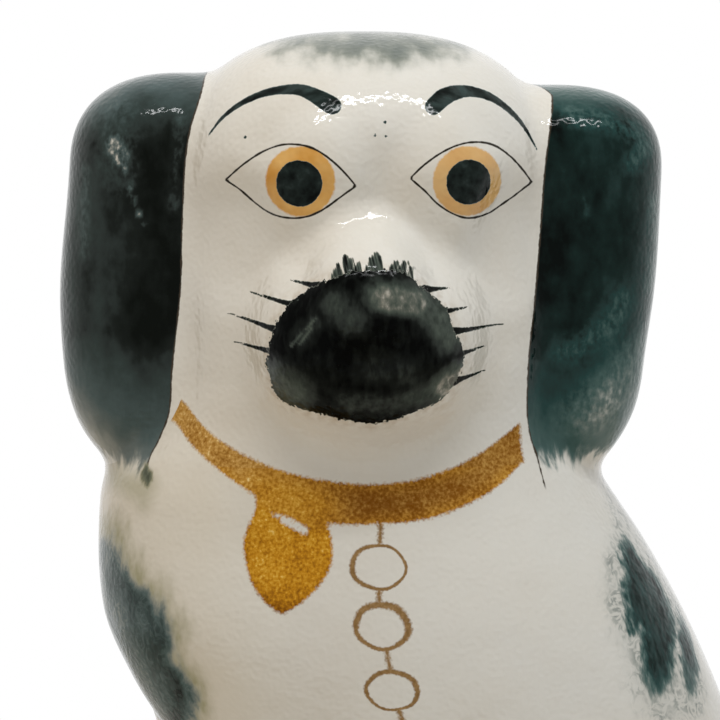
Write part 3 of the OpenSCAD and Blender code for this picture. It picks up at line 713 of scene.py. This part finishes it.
def coated(tree, place, under):
    """Coat of the ears, which thins out in brush marks at the tips, with painted sheen along its top and
    outer edges and painted highlights on the right ear.
    """
    marks = sums(tree, "MULTIPLY_ADD", noise(tree, place, 0.55, 4.0, (1, 1, 0.25)), 9.0, -4.5)
    tip = band(tree, sums(tree, "ADD", stored(tree, "coat_tip"), marks), -2.5, 3.0)
    broad = streaks(tree, place, 0.12, (1, 1, 0.4), 0.88, 1.07)
    load = times(tree, stored(tree, "coat_load_and_sheen"), broad)
    load = times(tree, load, streaks(tree, place, 0.35, (1, 1, 0.7), 0.94, 1.05))
    # Painted highlights and sheen, and streaks brushed thin, lighten the coat.
    lightening = times(tree, stored(tree, "coat_sheen_and_wipe"), streaks(tree, place, 0.9, (1, 1, 0.7), 0.2, 1.5))
    load = times(tree, sums(tree, "SUBTRACT", load, lightening), tip)
    right = enamelled(tree, place, under, stored(tree, "coat"), load, 0.2, 0.1, codes=grey_black)
    left = enamelled(tree, place, under, stored(tree, "coat"), load, 0.2, 0.1, codes=teal_black)
    side = band(tree, node(tree, "SeparateXYZ", {0: place}), -31.0, -11.0)
    coat = mixed(tree, side, right, left)
    drawn = sums(tree, "SUBTRACT", -0.1, sums(tree, "ABSOLUTE", stored(tree, "coat")))
    drawn = sums(tree, "MULTIPLY_ADD", noise(tree, place, 0.7, 3.0), 0.5, drawn)
    end = sums(tree, "MULTIPLY_ADD", side, 5.0, stored(tree, "coat_tip"))
    outline = times(tree, band(tree, drawn, -0.12, 0.12), band(tree, end, -0.5, 1.0))
    return mixed(tree, outline, coat, colour("3a2f20"))


def collar(p):
    """How deep points lie inside the gilt collar, which runs round the throat and ends behind the jowls."""
    turn = np.degrees(np.arctan2(p[:, 0] - face_x, -p[:, 1]))
    depth = np.minimum(curve(collar_top, turn) - p[:, 2], p[:, 2] - curve(collar_low, turn))
    return np.minimum(depth, 0.6 * np.minimum(turn - collar_right_end, collar_left_end - turn))


def gilded(tree, place, under, depth, tone, *codes, yellow=None, yellow_codes=()):
    """Gilding where depth is above 0, from dark to light codes by tone, with a worn, grainy surface. On the
    collar and padlock the tone carries painted light and shade.
    """
    edge = sums(tree, "MULTIPLY_ADD", noise(tree, place, 1.8, 3.0), 1.4, -0.7)
    cover = band(tree, sums(tree, "ADD", depth, edge), -0.45, 0.45)
    wear = sums(tree, "MULTIPLY_ADD", noise(tree, place, 1.6, 3.0), 1.3, -0.65)
    wear = sums(tree, "ADD", wear, sums(tree, "MULTIPLY_ADD", noise(tree, place, 0.2, 2.0), 0.5, -0.25))
    wear = sums(tree, "ADD", wear, tone)
    gold = ramp(tree, wear, *((0.05 + 0.25 * i, code) for i, code in enumerate(codes)))
    if yellow is not None:
        other = ramp(tree, wear, *((0.05 + 0.25 * i, code) for i, code in enumerate(yellow_codes)))
        gold = mixed(tree, yellow, gold, other)
    return mixed(tree, cover, under, gold), cover


def collar_shade(p):
    """Painted light and shade on the gilt collar: darkest at the middle of the throat, under the chin, and
    lightest at the dog's right, where a painted highlight lies.
    """
    x = p[:, 0] - face_x
    return 0.26 + 0.38 * share(3 - x, 2, 16) + 0.18 * share(x - 3, 4, 20)


def spots(at, rounds):
    """How deep points lie inside round spots, each given by its middle and its radius."""
    return np.max([radius - np.linalg.norm(at - spot, axis=1) for spot, radius in rounds], axis=0)


wash_grey = ("bcbdb3", "92968b", "6a726a", "4a554e", "2a332e", "10150f")


def washed(tree, place, under):
    """Thin grey wash on the crown, brushed from the back to the brow."""
    back = (1, 0.4, 0.4)
    load = streaks(tree, place, 0.15, back, 0.26, 0.6)
    return enamelled(tree, place, under, stored(tree, "crown"), load, 5.0, 2.2, 0.3, wash_grey, back)


collar_gold = ("804c0c", "905f20", "b0823c", "ca9e56", "ecd294")
nose_black = ("b0aca0", "7a7b70", "4a544b", "29322b", "101511", "020302")
head_front, p = piece("head_front", (nearest == 0) & head & front, wall, rounds=2)
at = face_view(p)
lids = ((left_eye, left_lid), (right_eye, right_lid))
eye = np.max([area(at, np.concatenate([line(top), line(lower)[1:-1]])) for top, lower in lids], axis=0)
brush = np.maximum(stroke(at, line(left_brow), brow_half), stroke(at, line(right_brow), brow_half))
brush = np.maximum(brush, spots(at, [(speck, speck_half) for speck in specks]))
whisker = np.max([stroke(at, line(ends, 5), whisker_half) for ends in whiskers], axis=0)
muzzle = area(at, line(muzzle_rim, 90))
tuft = np.max([stroke(at, np.array(ends), (1.0, 0.5)) for ends in bristles], axis=0)
mark(head_front, "brush", brush)
mark(head_front, "whisker", whisker)
mark(head_front, "tuft", tuft)
mark(head_front, "eye", eye)
mark(head_front, "iris", np.minimum(eye, spots(at, irises)))
mark(head_front, "pupil", spots(at, pupils))
mark(head_front, "muzzle", muzzle)
# Painted reflection of the chest: the black is lighter below the arch, most towards the sides.
below = share(curve(muzzle_arch, at[:, 0]) - at[:, 1], -2, 5)
mark(head_front, "muzzle_load_and_reflection", 1 - below * (0.02 + 0.14 * share(np.abs(at[:, 0]), 5, 14)))
mark(head_front, "muzzle_painted_light", lightened(at, muzzle_light_strokes))
mark(head_front, "crown", p[:, 2] - curve(crown_line, at[:, 0]))
mark_coat(head_front, p)
mark(head_front, "gold", collar(p))
mark(head_front, "gold_light_and_shade", collar_shade(p))

face, tree, place, now = glazed("painted face")
now = coated(tree, place, washed(tree, place, painted_shade(tree, place, now)))
now, gold = gilded(tree, place, now, stored(tree, "gold"), stored(tree, "gold_light_and_shade"), *collar_gold)
iris_edge = sums(tree, "MULTIPLY_ADD", noise(tree, place, 1.2), 0.6, -0.3)
iris_cover = band(tree, sums(tree, "ADD", stored(tree, "iris"), iris_edge), -0.2, 0.3)
iris_paint = ramp(tree, noise(tree, place, 0.14, 3.0), (0.35, "e4b466"), (0.5, "dca654"), (0.65, "d4973c"))
on_right = band(tree, node(tree, "SeparateXYZ", {0: place}), -22.0, -14.0)
iris_paint = mixed(tree, times(tree, on_right, 0.35), iris_paint, colour("e2c294"))
now = mixed(tree, iris_cover, now, iris_paint)
pupil_load = streaks(tree, place, 0.5, (1, 1, 1), 0.82, 1.0)
now = enamelled(tree, place, now, stored(tree, "pupil"), pupil_load, 0.12, 0.2)
lid = sums(tree, "SUBTRACT", 0.2, sums(tree, "ABSOLUTE", stored(tree, "eye")))
lid = band(tree, sums(tree, "MULTIPLY_ADD", noise(tree, place, 0.5), 0.3, lid), 0.05, 0.25)
now = mixed(tree, lid, now, colour("241d10"))
tan = streaks(tree, place, 0.6, (1, 1, 1), -0.1, 0.5)
tan = times(tree, band(tree, stored(tree, "muzzle"), -3.0, 0.5), tan)
now = mixed(tree, tan, now, colour("a0855c"))
brow_load = streaks(tree, place, 0.45, (0.35, 1, 1), 0.72, 1.0)
now = enamelled(tree, place, now, stored(tree, "brush"), brow_load, 0.15, 0.12)
now = enamelled(tree, place, now, stored(tree, "whisker"), 0.95, 0.15, 0.15, 1.1, nose_black)
slanted = node(tree, "Mapping", {"Vector": place, "Rotation": (0, 0.25, 0)})
hairs = streaks(tree, slanted, 1.3, (1, 0.06, 0.06), 0.0, 1.25)
now = enamelled(tree, slanted, now, stored(tree, "tuft"), hairs, 0.3, 0.9, 1.3, nose_black, (1, 0.06, 0.06))
# The black of the muzzle, made lighter by painted highlights and a painted reflection of the chest.
dab = times(tree, stored(tree, "muzzle_load_and_reflection"), streaks(tree, place, 0.7, (1, 1, 0.4), 0.92, 1.05))
lightening = times(tree, stored(tree, "muzzle_painted_light"), streaks(tree, place, 0.8, (1, 1, 0.6), 0.7, 1.25))
dab = sums(tree, "SUBTRACT", dab, lightening)
now = enamelled(tree, place, now, stored(tree, "muzzle"), dab, 0.15, 1.0, 1.3, nose_black)
fired(tree, place, now, gold)
head_front.data.materials.append(face)

head_back, p = piece("head_back", (nearest == 0) & head & ~front, wall)
crown_edge = curve(crown_line, p[:, 0] - face_x)
crown_edge = crown_edge + share(p[:, 1], 0, nape_blend) * (nape_wash_z - crown_edge)
mark(head_back, "crown", p[:, 2] - crown_edge)
mark_coat(head_back, p)
nape, tree, place, now = glazed("white nape")
fired(tree, place, coated(tree, place, washed(tree, place, painted_shade(tree, place, now))))
head_back.data.materials.append(nape)

# Ears: solid flaps luted to the head, coated all over with green-black enamel in broad strokes.
# The coat is thin in the bristled lower ends, and lighter along the top and at the outer edges as painted
# sheen.
coat, tree, place, now = glazed("ear coat")
fired(tree, place, coated(tree, place, now))
for name, chosen in (("right_ear", nearest == 1), ("left_ear", nearest == 2)):
    made, p = piece(name, chosen)
    mark_coat(made, p)
    made.data.materials.append(coat)

# Body: two pressed halves, white under the glaze, with black patches dabbed on shoulders and haunches.
# On the front half a gilt collar runs round the throat, with a gilt padlock, and a chain of rings is drawn
# down the chest. Left and right are the dog's own.
lock_rim = [(-17.1, 124.8), (-20.8, 127.6), (-23.3, 131.7), (-24.6, 137.5), (-23.9, 141.2), (-22.2, 145),
            (-21, 150), (-9, 148), (-7.8, 142), (-6.9, 137.9), (-7.4, 134), (-9.4, 130.7), (-13.2, 127),
            (-17.1, 124.8)]
lock_gold = ("74440a", "9a6414", "c0851c", "d6a236", "f2d480")
lock_gap, lock_gap_half = [(-18.8, 144.4), (-15.8, 142.9), (-12.6, 141.3)], (0.2, 0.8, 0.85)
# Rings of the chain, each with its middle, half width and half height, and the weight of its line
links = [((2.2, 134.2), (5.2, 4.3), 0.38), ((2.8, 122.7), (5.2, 4.3), 0.6), ((4.8, 110.1), (5.1, 3.8), 0.45),
         ((8.5, 98.2), (5.2, 4), 0.4), ((14, 87.4), (5, 4), 0.4), ((22, 78), (4.8, 4), 0.4),
         ((32, 70.5), (4.8, 4), 0.4), ((43.5, 65.5), (4.8, 4), 0.4)]
chain_line = [(60, 58), (65.5, 43.5), (70.5, 32), (78, 22), (87.4, 14), (98.2, 8.5), (104, 6.9), (110.1, 5.1),
              (116, 4.1), (122.7, 2.8), (128.5, 2.3), (134.2, 2.3), (143, 2.6)]
bars = [(143, 138.4), (130, 126.8), (118.5, 113.8), (106.4, 102), (94.5, 91), (84, 81.3), (75.2, 73),
        (68.8, 67.3)]
chain_gold = ("7d5f39", "8a6b43", "98794f", "a98c62")
# Outlines of the patches: turn round the body in degrees, and height
right_patch = [(-71, 138), (-67, 134), (-63.8, 130), (-58, 127.2), (-54.8, 123.6), (-52.9, 119.7), (-53, 116),
               (-52, 112.3), (-49.4, 109), (-50, 105.8), (-54, 100), (-66, 94), (-84, 98), (-96, 112),
               (-94, 126), (-82, 135), (-71, 138)]
left_patch = [(69, 136.5), (70.3, 131.8), (73.3, 128.2), (73, 124.2), (71.5, 120.4), (68.8, 116.8),
              (65.2, 113.4), (62.1, 109.1), (58.1, 106.1), (55.9, 108.4), (55.8, 111.6), (57, 116.5),
              (58, 119.9), (54.5, 119.6), (56.5, 123.7), (57.1, 127.1), (60.3, 129.9), (62.8, 134.3),
              (69, 136.5)]
left_stroke = [(76.6, 120.4), (77.6, 117.7), (74.5, 111.7), (73, 109.5), (67, 105), (66.1, 107.6),
               (67.5, 112.2), (70.6, 116.5), (76.6, 120.4)]
left_fringe = [(92, 154), (80, 150), (62, 138), (55.4, 133.5), (51.5, 128), (50.4, 123.3), (50.2, 118.5),
               (51.8, 114), (51.8, 109), (53.4, 103), (60, 100), (70, 101), (76, 108), (80, 118), (84, 132),
               (92, 154)]
haunch_patch = [(48, 58), (40, 47), (38, 36), (44, 27), (56, 24), (66, 32), (70, 44), (64, 56), (48, 58)]
rump_patch = [(120, 70), (104, 58), (100, 44), (112, 32), (132, 30), (148, 40), (146, 58), (134, 68),
              (120, 70)]
flank_patch = [(-128, 128), (-140, 120), (-146, 106), (-138, 94), (-122, 92), (-112, 102), (-112, 118),
               (-128, 128)]
haze, haze_half = [(-52, 148.6), (-46, 147.2)], (2.5,)
smear, smear_half = [(-44.9, 152), (-44.7, 150.6), (-44.6, 149.4), (-44.8, 148.2)], (0.3, 0.9, 0.9, 0.3)
smear_end, smear_end_half = [(-44.8, 148.6), (-45.2, 146.5), (-45.4, 144.6)], (2.2, 1.2)
chest_turn_x, turn_mm, bare_near_axis, bare_blend = 5.0, 0.85, 16, 8
olive_black = ("b5b29c", "8f8d72", "5f6450", "444a38", "2c3224", "1a1f14")


def round_view(p):
    """Points by the turn round the body, in degrees times the mm that a degree takes up, and the height."""
    turn = np.degrees(np.arctan2(p[:, 0] - face_x - chest_turn_x, -p[:, 1]))
    return np.stack([turn * turn_mm, p[:, 2]], axis=1)


def patch(at, *rims):
    """How deep points lie inside any of some patches."""
    return np.max([area(at, line(rim, 70) * (turn_mm, 1)) for rim in rims], axis=0)


for name, side in (("body_front", front), ("body_back", ~front)):
    made, p = piece(name, (nearest == 0) & ~head & side, wall)
    at = face_view(p)
    mark_coat(made, p)
    turned = round_view(p)
    from_axis = np.hypot(p[:, 0] - face_x - chest_turn_x, p[:, 1])
    unpainted = 18 * (1 - share(from_axis - bare_near_axis, 0, bare_blend))
    soft = patch(turned, right_patch, haunch_patch, rump_patch, flank_patch) - unpainted
    mark(made, "soft_dab", soft)
    mark(made, "soft_load", (0.86 - 0.28 * share(soft, 3, 9)) * (1 - 0.6 * share(p[:, 2], 127, 137)))
    mark(made, "firm_dab", patch(turned, left_patch, left_stroke))
    mark(made, "firm_load", 1 - 0.35 * share(-p[:, 2], -113, -105))
    mark(made, "fringe", patch(turned, left_fringe))
    behind = 9 * (p[:, 1] > 0)
    thin = np.maximum(stroke(at, np.array(haze), haze_half), stroke(at, line(smear_end), smear_end_half))
    mark(made, "haze", thin - behind)
    mark(made, "smear", stroke(at, line(smear), smear_half) - behind)
    if name == "body_front":
        lock = np.minimum(area(at, line(lock_rim, 60)), -stroke(at, np.array(lock_gap), lock_gap_half))
        # Painted light and shade on the padlock: a painted highlight on its upper part, painted shade on its
        # lower part, and darker at its rim.
        lock_light_and_shade = 0.3 + 0.3 * share(p[:, 2], 126, 132) - 0.12 * (1 - share(lock, 0, 1.6))
        on_collar = share(collar(p), -2, 3)
        mark(made, "gold", np.maximum(collar(p), lock))
        mark(made, "gold_light_and_shade", lock_light_and_shade + on_collar * (collar_shade(p) - lock_light_and_shade))
        mark(made, "yellow", np.maximum(1 - on_collar, 0.8 * share(lock, -6, 1)))
        ring = []
        for (x, z), halves, half in links:
            off = (at - (x, z)) / halves
            turn = np.arctan2(off[:, 1], off[:, 0])
            wobble = 1 + 0.03 * np.sin(2 * turn + z) + 0.02 * np.sin(5 * turn + x)
            ring.append((wobble - np.linalg.norm(off, axis=1)) / half / (1 + 0.3 * np.sin(turn + 2 * z)))
        mark(made, "link", 4.7 * np.max(ring, axis=0))
        mark(made, "bar", (at[:, 0] - curve(chain_line, at[:, 1])) * share(at[:, 1], 40, 110) ** 0.5)
        ends = [np.minimum(top - at[:, 1], at[:, 1] - bottom) for top, bottom in bars]
        mark(made, "bar_end", np.max(ends, axis=0))
    body, tree, place, now = glazed("painted " + name.replace("_", " "))
    now = coated(tree, place, painted_shade(tree, place, now))
    down = (1, 1, 0.5)
    halo = sums(tree, "MULTIPLY_ADD", noise(tree, place, 0.25, 3.0, down), 6.0, stored(tree, "soft_dab"))
    olive = streaks(tree, place, 0.5, down, 0.55, 0.95)
    olive = times(tree, band(tree, halo, -4.0, 2.5), olive)
    thin = times(tree, band(tree, stored(tree, "haze"), -2.5, 2.5), 0.55)
    now = mixed(tree, sums(tree, "MAXIMUM", olive, thin), now, colour("9a9774"))
    swirl = node(tree, "TexNoise", {"Vector": place, "Scale": 0.3, "Detail": 2.0, "Distortion": 3.0})
    wool = band(tree, swirl, 0.42, 0.62)
    load = streaks(tree, place, 0.16, down, 0.75, 1.12)
    load = times(tree, stored(tree, "soft_load"), load)
    load = sums(tree, "SUBTRACT", load, times(tree, wool, 0.12))
    now = enamelled(tree, place, now, stored(tree, "soft_dab"), load, 3.0, 3.2, 0.3, stretch=down)
    wool = sums(tree, "MULTIPLY_ADD", wool, streaks(tree, place, 0.3, down, 0.03, 0.2), 0.13)
    now = enamelled(tree, place, now, stored(tree, "fringe"), wool, 3.0, 2.5, 0.3)
    load = streaks(tree, place, 0.5, (1, 1, 0.25), 0.7, 0.95)
    load = times(tree, stored(tree, "firm_load"), load)
    now = enamelled(tree, place, now, stored(tree, "firm_dab"), load, 2.2, 2.6, 0.8, teal_black, (1, 1, 0.3))
    now = enamelled(tree, place, now, stored(tree, "smear"), 0.75, 1.0, 0.9, 0.6, olive_black, (1, 1, 0.4))
    gold = None
    if name == "body_front":
        ring = sums(tree, "SUBTRACT", 1.0, sums(tree, "ABSOLUTE", stored(tree, "link")))
        bar = sums(tree, "SUBTRACT", 0.5, sums(tree, "ABSOLUTE", stored(tree, "bar")))
        drawn = sums(tree, "MAXIMUM", ring, sums(tree, "MINIMUM", bar, stored(tree, "bar_end")))
        now, gold_line = gilded(tree, place, now, drawn, 0.4, *chain_gold)
        now, gold = gilded(tree, place, now, stored(tree, "gold"), stored(tree, "gold_light_and_shade"), *collar_gold,
                           yellow=stored(tree, "yellow"), yellow_codes=lock_gold)
        gold = sums(tree, "MAXIMUM", gold, gold_line)
    fired(tree, place, now, gold)
    made.data.materials.append(body)

# Forelegs: solid clay legs, luted under the chest and standing free of the belly.
# They stay white, with the same painted shade as the lower body.
plain, tree, place, now = glazed("white legs")
fired(tree, place, painted_shade(tree, place, now))
for name, chosen in (("left_foreleg", nearest == 3), ("right_foreleg", nearest == 4)):
    made, p = piece(name, chosen)
    mark(made, "painted_shade", np.full(len(p), shade_share))
    made.data.materials.append(plain)

# Tail: a solid roll of clay luted to the left haunch, coated with black enamel in long strokes.
# The coat ends in the hollow of the joint.
tail_coat_over = 0.4
brush_tail, tree, place, now = glazed("tail coat")
load = streaks(tree, place, 0.2, (1, 1, 0.4), 0.65, 1.0)
fired(tree, place, enamelled(tree, place, now, stored(tree, "coat"), load, 0.4, 0.6))
made, p = piece("tail", nearest == 5)
forms = forms_at(p)
mark(made, "coat", forms[0][0] - forms[5][0] + tail_coat_over)
made.data.materials.append(brush_tail)

# Foot: a slab of bare clay that closes the hollow, luted inside the foot rim, with a vent for the kiln.
# It keeps the mesh of its solid, and gets the matt look of unglazed clay.
bare = bpy.data.materials.new("bare clay")
bare.use_nodes = True
tree = bare.node_tree
place = node(tree, "Mapping", {"Vector": node(tree, "TexCoord", out=3), "Scale": (1000, 1000, 1000)})
biscuit = ramp(tree, noise(tree, place, 0.25, 5.0), (0.3, "cbb89a"), (0.55, "d8c9ae"), (0.75, "e0d5bf"))
tree.links.new(biscuit, tree.nodes["Principled BSDF"].inputs["Base Color"])
tree.nodes["Principled BSDF"].inputs["Roughness"].default_value = 0.9
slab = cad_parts["foot_slab"].data
slab.materials.clear()
slab.materials.append(bare)

# Studio: a pale floor that fades into a white room. A soft lamp and a wide strip hang above in front, with a
# dim warm fill at the left and a dim cool one at the right. Of these only the strip shows in the glaze.
# The camera stands in front of the head and looks down a little.
scene = bpy.context.scene
scene.view_settings.view_transform = "Standard"
ground = bpy.data.meshes.new("floor")
ground.from_pydata([(-2, -2, 0), (2, -2, 0), (2, 2, 0), (-2, 2, 0)], [], [(0, 1, 2, 3)])
floor = bpy.data.objects.new("floor", ground)
bpy.context.collection.objects.link(floor)
paper = bpy.data.materials.new("paper")
paper.use_nodes = True
tree = paper.node_tree
spot = node(tree, "TexCoord", out=3)
pale = ramp(tree, noise(tree, spot, 50.0, 3.0), (0.3, "efe9df"), (0.7, "f3eee6"))
tree.links.new(pale, tree.nodes["Principled BSDF"].inputs["Base Color"])
tree.nodes["Principled BSDF"].inputs["Roughness"].default_value = 0.8
seen = tree.nodes.new("ShaderNodeLightPath").outputs
lift = times(tree, seen["Is Camera Ray"], 0.3)
lifted = node(tree, "Emission", {"Color": (1, 1, 1, 1), "Strength": lift})
sheet = node(tree, "AddShader", {0: tree.nodes["Principled BSDF"].outputs[0], 1: lifted})
edge = band(tree, node(tree, "VectorMath", {0: spot}, out=1, operation="LENGTH"), 0.24, 0.44)
sheet = node(tree, "MixShader", {0: edge, 1: sheet, 2: node(tree, "BsdfTransparent")})
tree.links.new(sheet, tree.nodes["Material Output"].inputs["Surface"])
ground.materials.append(paper)

world = bpy.data.worlds.new("white room")
world.use_nodes = True
tree = world.node_tree
sky = {0: node(tree, "TexCoord"), 1: (0.8, 0, 0.6)}
upper_right = node(tree, "VectorMath", sky, out=1, operation="DOT_PRODUCT")
tint = mixed(tree, band(tree, upper_right, -0.9, 0.5), (0.94, 0.84, 0.69, 1), (1.0, 1.0, 0.98, 1))
ambient = node(tree, "Background", {"Color": tint, "Strength": 0.385})
white = node(tree, "Background", {"Color": (1, 1, 1, 1), "Strength": 1.0})
seen = tree.nodes.new("ShaderNodeLightPath").outputs
shown = sums(tree, "MAXIMUM", seen["Is Glossy Ray"], seen["Is Transmission Ray"])
shown = sums(tree, "MAXIMUM", seen["Is Camera Ray"], shown)
room = node(tree, "MixShader", {0: shown, 1: ambient, 2: white})
tree.links.new(room, tree.nodes["World Output"].inputs["Surface"])
scene.world = world


def lamp(name, place, aim, size, power, tint, mirrored=False):
    light = bpy.data.lights.new(name, "AREA")
    light.shape = "RECTANGLE"
    light.energy, light.color = power, tint
    light.size, light.size_y = size
    made = bpy.data.objects.new(name, light)
    made.location = place
    made.rotation_euler = (Vector(aim) - Vector(place)).to_track_quat("-Z", "Y").to_euler()
    made.visible_glossy = mirrored
    bpy.context.collection.objects.link(made)


lamp("key", (0.0, -0.3, 0.95), (-0.02, 0, 0.16), (0.4, 0.4), 1.1, (0.98, 0.99, 1))
lamp("glint", (0.03, -0.32, 0.95), (-0.02, 0, 0.2), (0.72, 0.045), 3.0, (0.98, 0.99, 1), mirrored=True)
lamp("left fill", (-0.65, -0.45, 0.5), (-0.02, 0, 0.18), (0.5, 0.5), 0.65, (1, 0.74, 0.48))
lamp("right fill", (0.75, -0.35, 0.35), (-0.02, 0, 0.15), (0.5, 0.5), 0.3, (0.93, 0.97, 1))

camera = bpy.data.cameras.new("camera")
camera.lens = 154.8
camera.sensor_width = 36
eye_point = bpy.data.objects.new("camera", camera)
aim_x, aim_z, away, tilt = -0.0225, 0.1714, 0.65, math.radians(5)
eye_point.location = (aim_x, -away * math.cos(tilt), aim_z + away * math.sin(tilt))
eye_point.rotation_euler = (math.radians(90) - tilt, 0, 0)
bpy.context.collection.objects.link(eye_point)
scene.camera = eye_point
